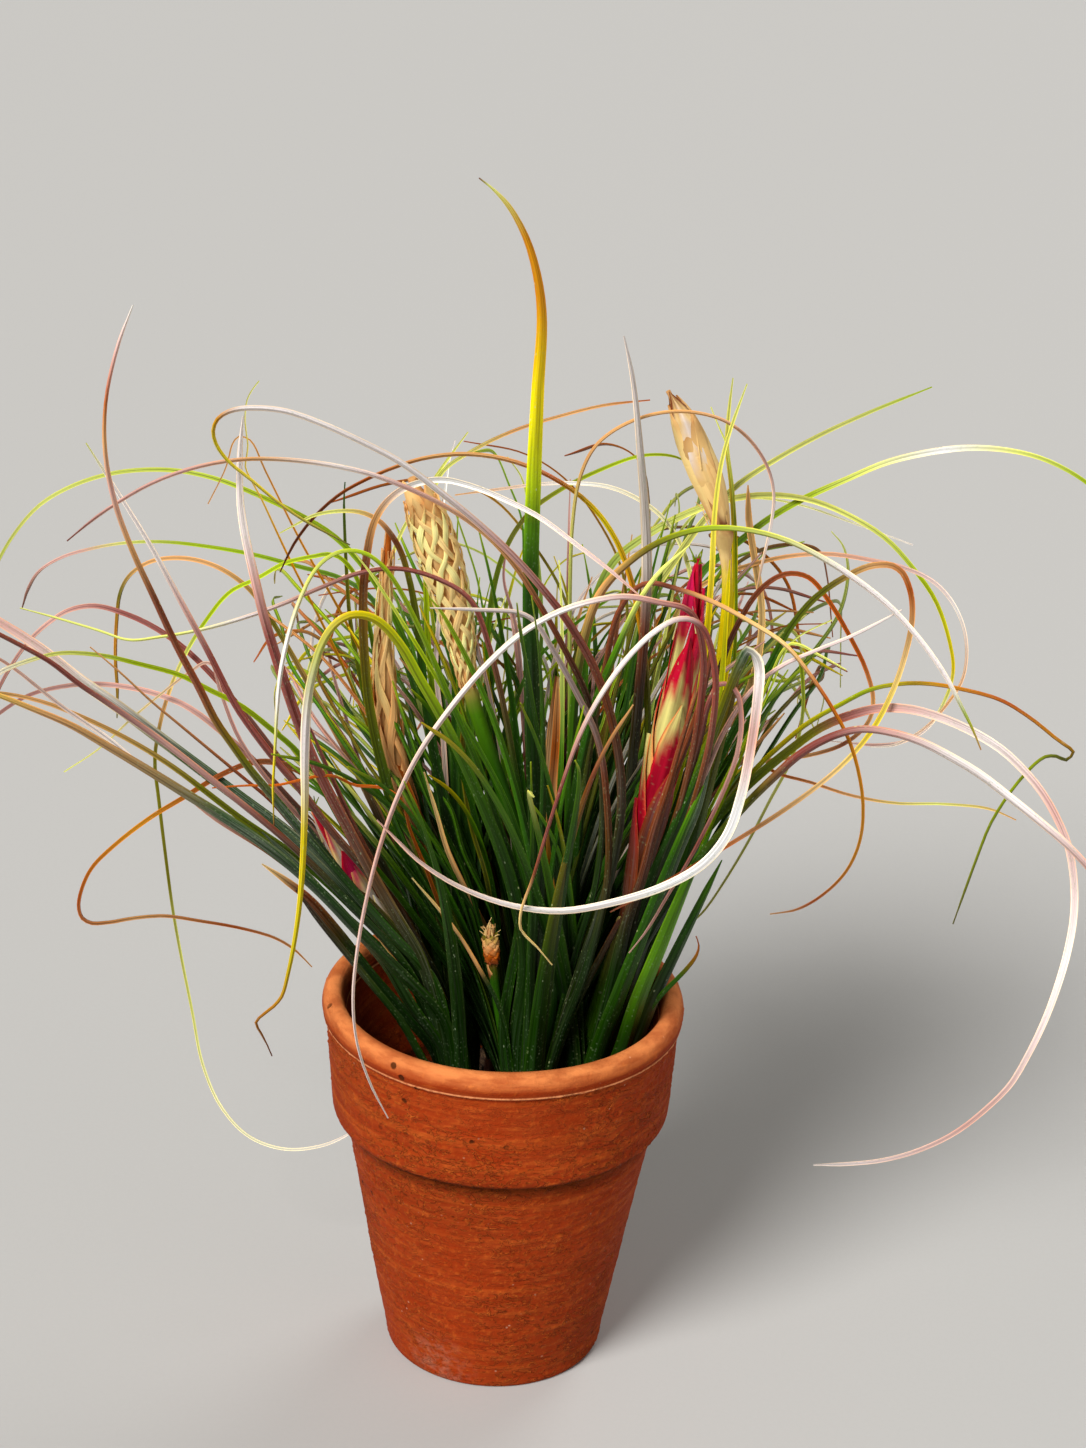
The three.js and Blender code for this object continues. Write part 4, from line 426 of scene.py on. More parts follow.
# The tallest dried spike's sheets: shares of the spike where each starts and ends, turn (rad), splay, shades.
DRY_SHEETS = (
    (0.81, 1, 1.6, 0, "tan 0 straw .1 straw .6 tan 1"),
    (0.8, 0.99, 2.9, 0, "tan 0 straw .1 straw .6 tan 1"),
    (0.81, 0.985, -0.4, 0.02, "brown 0 tan .08 straw .3 straw .8 tan 1"),
    (0.825, 1, -1.7, 0.03, "brown 0 straw .08 straw .4 white .6 straw .8 brown 1"),
    (0.86, 0.97, -2.5, 0.08, "brown 0 tan .2 straw .5 tan 1"),
    (0.75, 0.83, -1.3, 0.5, "yellow 0 straw .3 straw .8 tan 1"),
)
SPIKE_CORE_SHARE = 0.62
SPIKE_CORE_LEAST = 0.5

# The leaves that follow a rule in the CAD model: how many, the heading and fan that they grow in (degrees),
# and the spans of their length (mm), lean and bend (degrees).
Rule = namedtuple("Rule", "count towards fan length lean bend")
RULE_LEAVES = {
    "centre": Rule(12, 100, 180, (105, 165), (4, 22), (10, 80)),
    "left": Rule(14, 200, 120, (95, 165), (8, 46), (15, 90)),
    "right": Rule(14, -20, 110, (95, 165), (8, 44), (15, 90)),
    "front": Rule(16, -90, 130, (80, 150), (8, 46), (10, 90)),
    "back_left": Rule(20, 118, 120, (105, 185), (6, 52), (20, 120)),
    "back_right": Rule(20, 58, 120, (105, 185), (6, 52), (20, 120)),
}
RULE_WIDTH = (3.4, 4.6)
RULE_TIP_WIDTH = 0.8
RULE_STRETCHES = 12
GOLDEN_SHARE = 0.618034
GOLDEN_ANGLE = 137.508
TRIES = 90

# Shades for the leaves that follow a rule and for the threads, with how often each is drawn.
RULE_SHADES = (
    (6, "deep 0 deep .4 green .7 leaf .92 lime 1"),
    (4, "deep 0 deep .25 green .5 leaf .75 yellow 1"),
    (2, "deep 0 green .35 leaf .65 pale .9 pale 1"),
    (1, "deep 0 green .3 olive .55 brown .8 tan 1"),
    (1, "deep 0 grey .4 silver .75 pink 1"),
    (1, "deep 0 umber .3 rose .65 pink 1"),
)
THREAD_SHADES = (
    (3, "deep 0 green .3 leaf .55 lime .8 yellow 1"),
    (5, "deep 0 green .3 leaf .6 pale 1"),
    (5, "deep 0 green .4 leaf .75 lime 1"),
    (3, "deep 0 olive .3 olive .6 orange 1"),
    (1, "green 0 brown .3 orange .6 tan 1"),
    (2, "green 0 rose .4 pink .7 rose 1"),
    (1, "green 0 pink .4 white .7 white 1"),
)

# The two kinds of leaf that only the scene has: spans of their bend and veer (degrees), length and root width
# (mm), the share of the rule's lean, how far they wander (mm), the lowest pixel row of a tip, the seed, the
# outline in the photograph's pixels that they stay in, and their shades.
Kind = namedtuple("Kind", "bend veer length root lean wander lowest_tip seed outline shades")
FULL_LEAVES = Kind(
    (10, 65), (-30, 30), (85, 150), (3.4, 4.8), 1, 0, 800, 500009,
    ((262, 700), (300, 610), (370, 530), (450, 480), (560, 475), (690, 490), (770, 550), (800, 620),
     (790, 700), (765, 790), (735, 870), (705, 950), (670, 1030), (640, 1340), (380, 1340), (345, 1010),
     (330, 900), (275, 800)),
    RULE_SHADES)
THREADS = Kind(
    (75, 215), (-100, 100), (120, 205), (1.2, 2.2), 0.8, 1, 740, 590010,
    ((265, 490), (330, 425), (450, 415), (560, 415), (700, 420), (780, 480), (850, 540), (870, 640),
     (850, 720), (800, 765), (750, 800), (700, 880), (640, 1340), (380, 1340), (330, 900), (275, 800),
     (245, 640)),
    THREAD_SHADES)
ADDED_TIP_WIDTH = 0.4
ADDED_TRIES = 80
# How far (mm) an added leaf keeps above the pot's wall, inside and outside it, above the rim farther out, and
# inside the CAD box.
ABOVE_WALL, INSIDE_WALL, OUTSIDE_WALL, ABOVE_RIM, INSIDE_BOX = 1.5, 3, 2, 6, 1.5
# Parts of the photograph that the added leaves leave open, with the depth (mm) that they stay behind.
OPEN_VIEWS = (
    (-16, ((640, 545), (722, 545), (722, 860), (630, 860))),
    (0, ((405, 470), (450, 470), (478, 580), (476, 670), (430, 670), (405, 560))),
    (8, ((655, 380), (735, 400), (742, 540), (690, 540))),
    (4, ((368, 600), (404, 600), (404, 775), (368, 775))),
    (-18, ((298, 795), (345, 795), (410, 930), (360, 930))),
    (-13, ((470, 915), (515, 915), (515, 975), (470, 975))),
)

# How the CAD model cut its blades into rows: the length, turn and twist that one row may take.
FINE_STEP = 2.5
KEEL_SHARE = 0.27
KEEL_LEAST = 0.8
CHANNEL = 0.16
TRACED_ROWS = (46, math.radians(31), math.radians(60))
RULE_ROWS = (46, math.radians(48), math.radians(80))
FACING_LENGTH = 55
# Where a traced leaf's low point lies between the stock and its track's start: shares of the way out and up.
LOW_POINT = (0.28, 0.42)
# By how much (mm) the CAD model may have moved a traced leaf in depth and its low point sideways.
SHIFTS = (0, 2.5, 5, 7.5, 10, 13, 16, 20, 24, 28)
LOW_SHIFTS = ((0, 0), (2, 0), (-2, 0), (0, 2), (0, -2), (3.5, 0), (-3.5, 0), (0, 3.5), (0, -3.5))
# How closely (mm) a blade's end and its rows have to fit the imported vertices, and the share that has to.
END_FIT = 0.04
ROW_FIT = 0.06
ROWS_FOUND = 0.7

# How silvery each shade is, from bare to thickly scaled.
SCURF = {"deep": 0.2, "green": 0.12, "grey": 0.6, "silver": 1, "white": 0.8, "pink": 0.6, "rose": 0.4,
         "umber": 0.35, "brown": 0.35, "tan": 0.3}
BARE_SCURF = 0.08

# A drawn blade's section, and the lengths (mm) over which it draws in above its root, narrows and waves. A ring
# is added where it turns by more than the sharpest turn (degrees). Low in the clump a blade is pulled towards
# its root's colour, partly its own darker base and partly painted shade: this covers at most a share of it, at
# a given depth of colour, and fades over a share of that.
BLADE_SECTION = np.array([-1, -0.6, 0, 0.6, 1, 0.6, 0, -0.6])
SHEATH_RUN = 24
NARROW_RUN = 85
WAVE_RUN = 17
SHARPEST_TURN = 5
PAINTED_SHADE_SHARE, PAINTED_SHADE_DEPTH, PAINTED_SHADE_FADE = 0.62, 0.85, 0.5

# The two skins: the tint of their dark lines, how strong lines, dots and drops are, how strong the painted
# shade down the channel (groove) and the painted highlight along both edges (rim) are, and how rough and shiny
# they are.
Skin = namedtuple("Skin", "line stripes dots drops groove rim rough shine")
SKINS = {
    "scaly_leaf": Skin((0.3, 0.25, 0.2), 1, 0.55, 0.4, 0.58, 0.8, (0.32, 0.55), 0.14),
    "papery_bract": Skin((0.62, 0.34, 0.1), 0.35, 0, 0, 0.1, 0.2, (0.6, 0.85), 0.08),
}

# The waves turned into the pot between two heights (mm): size in groove depths, pace up it and start. Its
# slight wobble: size (mm), waves round it, pace up it and start.
TURNED_WAVES = ((0.5, 1.7, 0), (0.4, 0.53, 1))
TURNED_HEIGHTS = (4, 80)
WOBBLES = ((0.12, 2, 0.05, 0), (0.08, 5, 0.11, 2))
# The height (mm) of a face on the pot's inside, and the seed of the wrinkles on its outside.
INSIDE_STEP = 2.2
WRINKLE_SEED = 5

# Heights and widths through a bark chip, as shares of its size.
CHIP_RINGS = ((-0.5, 0.05), (-0.46, 0.8), (-0.15, 1), (0.2, 0.97), (0.5, 0.74), (0.52, 0.05))

# The lights: where each stands from the plant and how wide it looks (degrees).
KEY_SUN = ((-0.52, -0.81, 0.9), 26)
BACK_SUN = ((0.5, 0.8, 0.7), 26)
FILL_SUN = ((0.9, -0.5, 0.5), 60)
# The camera's sensor width (mm) and the distances (m) between which it sees.
SENSOR = 36
CLIP = (0.05, 40)


def linear(code):
    """A colour written as six hexadecimal digits, as linear red, green and blue."""
    parts = [int(code[i : i + 2], 16) / 255 for i in (0, 2, 4)]
    return tuple(c / 12.92 if c <= 0.04045 else ((c + 0.055) / 1.055) ** 2.4 for c in parts)


def colour(name, description, code):
    return FloatVectorProperty(
        name=name, description=description, subtype="COLOR", size=3, min=0, max=1, default=linear(code)
    )


def length(name, description, millimetres):
    return FloatProperty(
        name=name, description=description, unit="LENGTH", min=0, precision=5, default=millimetres * MM
    )


def share(name, description, default):
    return FloatProperty(name=name, description=description, subtype="FACTOR", min=0, max=1, default=default)


def strength(name, description, default):
    return FloatProperty(name=name, description=description, min=0, default=default)


def number(name, description, low, high, default):
    return IntProperty(name=name, description=description, min=low, max=high, default=default)


class PlantShades(bpy.types.PropertyGroup):
    """The colours that leaves and bracts are shaded with from root to tip."""

    deep: colour("Deep green", "Leaf bases low in the clump", "143400")
    green: colour("Green", "Lower half of most leaves", "265400")
    leaf: colour("Leaf green", "Upper half of the fresh leaves", "4e8008")
    lime: colour("Lime", "Fresh leaf tips", "a9c40e")
    yellow: colour("Yellow", "Ripening leaves", "e6d204")
    gold: colour("Gold", "Ripe leaf bends", "d68e04")
    orange: colour("Orange", "Drying threads", "b4560a")
    brown: colour("Brown", "Dried leaf parts", "783610")
    umber: colour("Umber", "Dark dried leaf bases", "361806")
    tan: colour("Tan", "Dried pale leaf parts", "dca464")
    straw: colour("Straw", "Dried bracts", "ffd890")
    pink: colour("Pink", "Blushed silver leaves", "d6a298")
    rose: colour("Rose", "Blushed brown leaves", "8a4038")
    white: colour("White", "Silvery leaf ends", "f6ebe8")
    silver: colour("Silver", "Scaly grey leaves", "bcb2a8")
    grey: colour("Grey green", "Scaly green leaves", "34502c")
    olive: colour("Olive", "Dull green leaves", "6c6a08")
    pale: colour("Pale green", "Pale leaf ends", "e2ea7a")
    crimson: colour("Crimson", "Live bracts", "c8042e")
    magenta: colour("Magenta", "Tips of live bracts", "e81a62")
    cream: colour("Cream", "Foot of live bracts", "f2e88a")


class LeafSettings(bpy.types.PropertyGroup):
    """Sizes of the finer leaves."""

    blade: length("Blade thickness", "Thickness of a broad blade at its middle", 0.55)
    tip: length("Tip width", "Width at the very tip", 0.28)
    tip_length: length("Tip length", "How far from the end a leaf draws in to its tip", 7)
    sheath: share("Sheath", "How much wider a leaf is where it clasps the stock", 0.2)
    narrow: share("Narrowing", "How much narrower an arching leaf is far from its root", 0.4)
    # Partly painted shade: how far up a blade is pulled towards its root's colour, which is partly its own
    # darker base and partly painted shade low in the clump.
    shaded: length("Shaded root", "How far up from its root a leaf keeps its root's colour", 116)
    stripes: share("Stripes", "Strength of the fine lines along a leaf", 0.55)
    scales: share("Scales", "Strength of the pale scales on silvery leaves", 0.6)
    extra: number("More leaves", "Leaves added to each rosette", 0, 40, 26)
    threads: number("Threads", "Thin arching leaves added to each rosette", 0, 60, 26)


class SpikeSettings(bpy.types.PropertyGroup):
    """Sizes of the finer flower spikes."""

    bract: length("Bract thickness", "Thickness of one bract", 0.3)
    fibre: length("Fibre width", "Width of a loose dry fibre", 0.35)
    strand: length("Strand width", "Width of a strand woven round a dried spike", 1.6)
    fibres: number("Fibres", "Loose fibres on the braided dried spike", 0, 60, 22)


class PotSettings(bpy.types.PropertyGroup):
    """Finish of the clay pot."""

    clay: colour("Clay", "Fired clay", "962a00")
    # Dark clay is also the colour of the painted shade in wrinkle furrows and above the ridge line.
    dark: colour("Dark clay", "Turned grooves and damp patches", "6a1e00")
    # Light clay is also the colour of the painted highlights on wrinkle ridges and raised skin.
    light: colour("Light clay", "Worn ridges and edges", "e27224")
    bloom: colour("Bloom", "Pale mineral bloom low on the pot", "b87c64")
    sides: number("Sides", "Faces round the pot", 24, 400, 340)
    skin: length("Skin mesh", "Height of a face on the wrinkled outside", 0.7)
    groove: length("Groove depth", "Depth of the turning grooves", 0.12)


class BarkSettings(bpy.types.PropertyGroup):
    """The growing medium."""

    bark: colour("Bark", "Bark chips", "4a3424")
    dust: colour("Bark edge", "Broken edges of the chips", "8a6a48")
    chips: number("Chips", "Number of bark chips", 10, 300, 110)
    chip: length("Chip size", "Length of a bark chip", 7)


class StageSettings(bpy.types.PropertyGroup):
    """Floor and light."""

    floor: colour("Floor", "Plain pale floor", "b9b7b3")
    sky: colour("Surround", "Plain pale surround", "e4e2de")
    size: length("Floor size", "Width of the floor", 12000)
    surround: strength("Surround light", "Light that the surround gives", 0.2)
    backdrop: strength("Backdrop", "Brightness of the surround behind the floor", 0.76)
    key: strength("Key light", "Strength of the soft sun in front, at the left", 3.9)
    fill: strength("Fill light", "Strength of the broad sun at the right", 0.3)
    rim: strength("Back light", "Strength of the soft sun behind", 0.9)


class PlantSettings(bpy.types.PropertyGroup):
    """Everything that a user may set."""

    shades: PointerProperty(type=PlantShades)
    leaves: PointerProperty(type=LeafSettings)
    spikes: PointerProperty(type=SpikeSettings)
    pot: PointerProperty(type=PotSettings)
    bark: PointerProperty(type=BarkSettings)
    stage: PointerProperty(type=StageSettings)


class Draws:
    """Seeded draws, the same on every run and the same as the CAD model's."""

    def __init__(self, seed):
        self.state = seed * 2654435761 % 4294967296
        for _ in range(3):
            self.next()

    def next(self):
        self.state = (1664525 * self.state + 1013904223) % 4294967296
        return self.state / 4294967296

    def between(self, low, high):
        return low + (high - low) * self.next()

    def offset(self, most):
        """A displacement of up to that much along each axis."""
        return Vector([self.between(-most, most) for _ in range(3)])

    def strip(self):
        """An even whole number, which sets one blade's stripes apart from the others'."""
        return 2 * math.floor(self.next() * 400)


# The photograph's camera, in millimetres.
_tilt, _roll = math.radians(TILT), math.radians(ROLL)
VIEW_BACK = Vector((0, -math.cos(_tilt), math.sin(_tilt)))
_level_up = Vector((0, math.sin(_tilt), math.cos(_tilt)))
VIEW_RIGHT = Vector((math.cos(_roll), 0, 0)) + _level_up * math.sin(_roll)
VIEW_UP = _level_up * math.cos(_roll) - Vector((math.sin(_roll), 0, 0))
VIEW_EYE = Vector(AIM) + VIEW_BACK * DISTANCE


def photo_point(pixel, depth):
    """The point that a pixel of the photograph shows, at a given depth."""
    ray = -VIEW_BACK + VIEW_RIGHT * ((pixel[0] - PICTURE[0] / 2) / FOCAL)
    ray += VIEW_UP * ((PICTURE[1] / 2 - pixel[1]) / FOCAL)
    return VIEW_EYE + ray * ((depth - VIEW_EYE.y) / ray.y)


def photo_pixel(point):
    ray = Vector(point) - VIEW_EYE
    scale = FOCAL / ray.dot(-VIEW_BACK)
    return PICTURE[0] / 2 + ray.dot(VIEW_RIGHT) * scale, PICTURE[1] / 2 - ray.dot(VIEW_UP) * scale


def inside_outline(pixel, outline):
    x, y = pixel
    inside = False
    for (xi, yi), (xj, yj) in zip(outline, outline[-1:] + outline[:-1]):
        if (yi > y) != (yj > y) and x < (xj - xi) * (y - yi) / (yj - yi) + xi:
            inside = not inside
    return inside


def unit(rows):
    return rows / np.linalg.norm(rows, axis=-1, keepdims=True)


def spline(controls, per_span=12):
    """A centripetal spline through control points, as an array of points."""
    p = np.array([tuple(c) for c in controls], float)
    whole = np.vstack([2 * p[0] - p[1], p, 2 * p[-1] - p[-2]])
    x0, x1, x2, x3 = whole[:-3], whole[1:-2], whole[2:-1], whole[3:]
    d0, d1, d2 = (np.maximum(((b - a) ** 2).sum(1, keepdims=True) ** 0.25, 1e-4)
                  for a, b in ((x0, x1), (x1, x2), (x2, x3)))
    t1 = ((x1 - x0) / d0 - (x2 - x0) / (d0 + d1) + (x2 - x1) / d1) * d1
    t2 = ((x2 - x1) / d1 - (x3 - x1) / (d1 + d2) + (x3 - x2) / d2) * d1
    w = (np.arange(per_span) / per_span)[None, :, None]
    x1, x2, t1, t2 = (a[:, None, :] for a in (x1, x2, t1, t2))
    dense = x1 + t1 * w + (-3 * x1 + 3 * x2 - 2 * t1 - t2) * w**2 + (2 * x1 - 2 * x2 + t1 + t2) * w**3
    return np.vstack([dense.reshape(-1, 3), p[-1:]])


class Route:
    """A smooth route at even steps, with its direction and the way its flat side faces."""

    def __init__(self, controls, outward, facing):
        dense = spline(controls)
        reach = np.concatenate([[0], np.cumsum(np.linalg.norm(np.diff(dense, axis=0), axis=1))])
        self.length = reach[-1]
        self.steps = max(4, math.floor(self.length / FINE_STEP + 0.5))
        goals = np.linspace(0, self.length, self.steps + 1)
        self.places = np.stack([np.interp(goals, reach, dense[:, k]) for k in range(3)], axis=1)
        ahead = np.vstack([self.places[1:], self.places[-1:]])
        behind = np.vstack([self.places[:1], self.places[:-1]])
        self.along = unit(ahead - behind)
        self.bends = np.arccos(np.clip((self.along[1:] * self.along[:-1]).sum(1), -1, 1))
        self.turn_to_view(outward, 1 - math.exp(-self.length / self.steps / FACING_LENGTH) if facing else 0)

    def turn_to_view(self, outward, turn):
        before = Vector((0, 0, 1)) - 1.5 * Vector(outward)
        faces = []
        for row in self.along:
            direction = Vector(row)
            carried = (before - direction * before.dot(direction)).normalized()
            side = 1 if carried.dot(VIEW_BACK) >= 0 else -1
            mixed = carried * (1 - turn) + VIEW_BACK * (side * turn)
            before = (mixed - direction * mixed.dot(direction)).normalized()
            faces.append(tuple(before))
        self.faces = np.array(faces)

    def across(self):
        return np.cross(self.along, self.faces)

    def shares(self):
        return np.arange(self.steps + 1) / self.steps


class Leaf(namedtuple("Leaf", "root tip fullness traced route shades")):
    """One blade: how wide it is, whether it was traced, its route and its shades."""

    def widths(self):
        return self.tip + (self.root - self.tip) * (1 - self.route.shares() ** self.fullness)

    def corners(self):
        """The CAD section's three corners at every step: both edges and the keel."""
        width = self.widths()[:, None]
        depth = np.maximum(KEEL_LEAST, KEEL_SHARE * width)
        rise = CHANNEL * width
        edge = self.route.places + self.route.faces * rise
        side = self.route.across() * width / 2
        return np.stack([edge + side, edge - side, self.route.places + self.route.faces * (rise - depth)], 1)

    def rows(self):
        """The steps at which the CAD blade has a row of vertices."""
        run, bend, twist = TRACED_ROWS if self.traced else RULE_ROWS
        along, faces = self.route.along, self.route.faces
        carried = unit(faces[:-1] - along[1:] * (faces[:-1] * along[1:]).sum(1, keepdims=True))
        twists = np.arccos(np.clip((faces[1:] * carried).sum(1), -1, 1))
        step = self.route.length / self.route.steps
        cost = np.concatenate([[0], np.cumsum(step / run + self.route.bends / bend + twists / twist)])
        rows = max(4, math.ceil(cost[-1]))
        at = 0
        picked = []
        for row in range(rows + 1):
            while at < self.route.steps and cost[at] < cost[-1] * row / rows:
                at += 1
            picked.append(at)
        return picked


class Node:
    """The vertices of a CAD node, to find which leaf of several was packed."""

    def __init__(self, name):
        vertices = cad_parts[name].data.vertices
        self.tree = kdtree.KDTree(len(vertices))
        for i, vertex in enumerate(vertices):
            self.tree.insert(vertex.co / MM, i)
        self.tree.balance()

    def ends_at(self, point, width):
        """Whether a blade of that width ends at a point."""
        depth = max(KEEL_LEAST, KEEL_SHARE * width)
        rise = CHANNEL * width
        wanted = sorted([math.hypot(width / 2, rise)] * 2 + [depth - rise])
        found = [distance for _, _, distance in self.tree.find_n(Vector(point), 3)]
        return all(abs(a - b) < END_FIT for a, b in zip(wanted, found))

    def has(self, leaf):
        """Whether the node's vertices hold that leaf's rows, apart from those sunk in other leaves."""
        corners = leaf.corners()
        rows = leaf.rows()
        picked = [corner for row in rows[len(rows) // 3 :] for corner in corners[row]]
        hits = [self.tree.find(Vector(corner))[2] < ROW_FIT for corner in picked]
        return sum(hits) >= ROWS_FOUND * len(hits)


def rosette_axis(rosette):
    x, y = ROSETTES[rosette]
    return Vector((x, y, STOCK["leaf_start"]))


def pixels(track):
    return [tuple(float(v) for v in pair.split(",")) for pair in track.split()]


def track_points(start, track, middle, tip):
    """The points of a track, at depths from its start's through the middle's to the tip's."""
    line = [photo_pixel(start)] + track
    reach = [0]
    for a, b in zip(line, line[1:]):
        reach.append(reach[-1] + math.dist(a, b))
    pull = 2 * middle - (start[1] + tip) / 2
    points = []
    for pixel, at in zip(track, reach[1:]):
        s = at / reach[-1]
        points.append(photo_point(pixel, start[1] * (1 - s) ** 2 + 2 * pull * s * (1 - s) + tip * s**2))
    return points


def traced_leaf(rosette, line, middle_shift=0, tip_shift=0, low_shift=(0, 0)):
    """A leaf on its track, with a low point between the stock and the track's start."""
    axis = rosette_axis(rosette)
    points = track_points(axis, pixels(line.track), line.middle + middle_shift, line.end + tip_shift)
    outward = Vector((points[0].x - axis.x, points[0].y - axis.y, 0)).normalized()
    start = axis + outward * STOCK["leaf_ring"]
    low = start.lerp(points[0], LOW_POINT[0])
    low.z = start.z + (points[0].z - start.z) * LOW_POINT[1]
    low.x += low_shift[0]
    low.y += low_shift[1]
    route = Route([start, low] + points, outward, True)
    return Leaf(line.root, line.tip, line.fullness, True, route, line.shades)


def packed_traced_leaf(rosette, line, node):
    """The traced leaf at the depth at which the CAD model holds it."""
    last = pixels(line.track)[-1]
    both = [s for size in SHIFTS for s in ((size, -size) if size else (0,))]
    tips = [t for t in both if node.ends_at(photo_point(last, line.end + t), line.tip)]
    trials = [(abs(m) + 0.6 * abs(t) + 1.5 * math.hypot(*low), m, t, low)
              for t in tips or both for m in both for low in LOW_SHIFTS]
    for _, m, t, low in sorted(trials, key=lambda trial: trial[0]):
        leaf = traced_leaf(rosette, line, m, t, low)
        if not node.has(leaf):
            continue
        if line.name in REDRAWN:
            root, fullness = REDRAWN[line.name]
            track = REDRAWN_TRACKS.get(line.name, line.track)
            line = line._replace(root=root, fullness=fullness, track=track)
            leaf = traced_leaf(rosette, line, m, t, low)
        return leaf
    raise RuntimeError(f"the CAD model has no leaf {line.name}")


def rule_controls(rosette, outward, heading, lean, bend, run, veer):
    """Points of a leaf that leaves the stock steeply, leans out and bends over to its tip."""
    controls = [rosette_axis(rosette) + outward * STOCK["leaf_ring"]]
    for i in range(RULE_STRETCHES):
        s = (i + 0.5) / RULE_STRETCHES
        angle = lean * min(1, 0.25 + s * 2.2) + bend * s**2.2
        heading += veer / RULE_STRETCHES * 2 * s
        out = math.sin(angle)
        step = Vector((math.cos(heading) * out, math.sin(heading) * out, math.cos(angle)))
        controls.append(controls[-1] + step * (run / RULE_STRETCHES))
    return controls


def rule_leaf(rosette, index, attempt):
    """A leaf by the CAD model's rule, as its points, its way outward, fullness and root width."""
    rule = RULE_LEAVES[rosette]
    draws = Draws(1 + list(ROSETTES).index(rosette) * 10007 + index * 101 + attempt)
    rank = min(1, (index + 0.5) / rule.count)
    across = 2 * ((GOLDEN_SHARE * index) % 1) - 1
    heading = math.radians(rule.towards + rule.fan * across + draws.between(-20, 20))
    outward = Vector((math.cos(heading), math.sin(heading), 0))
    lean = math.radians(rule.lean[0] + (rule.lean[1] - rule.lean[0]) * rank + draws.between(-6, 6))
    bend = math.radians(rule.bend[0] + (rule.bend[1] - rule.bend[0]) * draws.next() * (0.4 + 0.6 * rank))
    run = draws.between(*rule.length)
    veer = math.radians(draws.between(-50, 50))
    controls = rule_controls(rosette, outward, heading, lean, bend, run, veer)
    return controls, outward, draws.between(1.3, 2.6), draws.between(*RULE_WIDTH)


def in_view(point, outline):
    """Whether a point may stand there: in the outline, and not before a spike that is open to view."""
    pixel = photo_pixel(point)
    return inside_outline(pixel, outline) and not any(
        point[1] < depth and inside_outline(pixel, view) for depth, view in OPEN_VIEWS)


def drawn_shades(draws, choices):
    at = draws.next() * sum(weight for weight, _ in choices)
    for weight, shades in choices:
        at -= weight
        if at <= 0:
            return shades
    return choices[0][1]


def packed_rule_leaves(rosette, node):
    """The leaves that the CAD model's rule placed in a rosette."""
    leaves = []
    for index in range(RULE_LEAVES[rosette].count):
        for attempt in range(TRIES):
            controls, outward, fullness, root = rule_leaf(rosette, index, attempt)
            if not node.ends_at(controls[-1], RULE_TIP_WIDTH):
                continue
            shades = drawn_shades(Draws(index * 31 + list(ROSETTES).index(rosette)), RULE_SHADES)
            leaf = Leaf(root, RULE_TIP_WIDTH, fullness, False, Route(controls, outward, False), shades)
            if node.has(leaf):
                leaves.append(leaf)
                break
    return leaves


def pot_inside(z):
    """The radius of the pot's plain tapered inside at a height."""
    bottom = POT["foot"] - POT["wall"]
    top = POT["rim"] - POT["lip"]
    return bottom + (top - bottom) * z / POT["height"]


def clear_of_pot(places):
    """Whether a route's points all keep off the pot's wall and don't hang down outside it."""
    radius, above = np.hypot(places[:, 0], places[:, 1]), places[:, 2] - POT["height"]
    inner = pot_inside(places[:, 2]) - INSIDE_WALL
    in_wall = (above < ABOVE_WALL) & (inner < radius) & (radius < POT["rim"] + OUTSIDE_WALL)
    return not np.any(in_wall | (above < ABOVE_RIM) & (radius > POT["rim"]))


def inside_cad_box(places):
    low, high = (np.array(corner) / MM for corner in CAD_BOX)
    return bool(np.all(places > low + INSIDE_BOX) and np.all(places < high - INSIDE_BOX))


def added_leaf(rosette, kind, index, count, attempt):
    """One leaf that only the scene has, or nothing where it would stand in the way."""
    rule = RULE_LEAVES[rosette]
    draws = Draws(kind.seed + list(ROSETTES).index(rosette) * 7001 + index * 131 + attempt)
    heading = math.radians(rule.towards + rule.fan * draws.between(-1, 1))
    outward = Vector((math.cos(heading), math.sin(heading), 0))
    low, high = rule.lean
    lean = low + (high - low) * (index + 0.5) / count * kind.lean + draws.between(-6, 6)
    bend, veer, run, root = (draws.between(*span) for span in (kind.bend, kind.veer, kind.length, kind.root))
    controls = rule_controls(rosette, outward, heading, math.radians(lean), math.radians(bend), run,
                             math.radians(veer))
    if kind.wander:
        controls = [c + draws.offset(kind.wander) * min(i, 6) / 5 for i, c in enumerate(controls)]
    tip = photo_pixel(controls[-1])
    if tip[1] > kind.lowest_tip or not inside_outline(tip, kind.outline):
        return None
    route = Route(controls, outward, False)
    if not (inside_cad_box(route.places) and clear_of_pot(route.places)
            and all(in_view(place, kind.outline) for place in route.places[::2])):
        return None
    fullness = draws.between(0.9, 2.2)
    return Leaf(root, ADDED_TIP_WIDTH, fullness, False, route, drawn_shades(draws, kind.shades))


def added_leaves(rosette, kind, count):
    """Leaves that only the scene has, by the same rule, each at the first of its tries that is free."""
    leaves = []
    for index in range(count):
        for attempt in range(ADDED_TRIES):
            leaf = added_leaf(rosette, kind, index, count, attempt)
            if leaf:
                leaves.append(leaf)
                break
    return leaves


def shading(shades, shares, settings):
    """Colours and scale cover at shares of a leaf's length, from its list of shades."""
    names, stops = shades.split()[::2], [float(v) for v in shades.split()[1::2]]
    colours = np.array([tuple(getattr(settings.shades, name)) for name in names])
    tints = np.stack([np.interp(shares, stops, colours[:, k]) for k in range(3)], axis=1)
    return tints, np.interp(shares, stops, [SCURF.get(name, BARE_SCURF) for name in names])


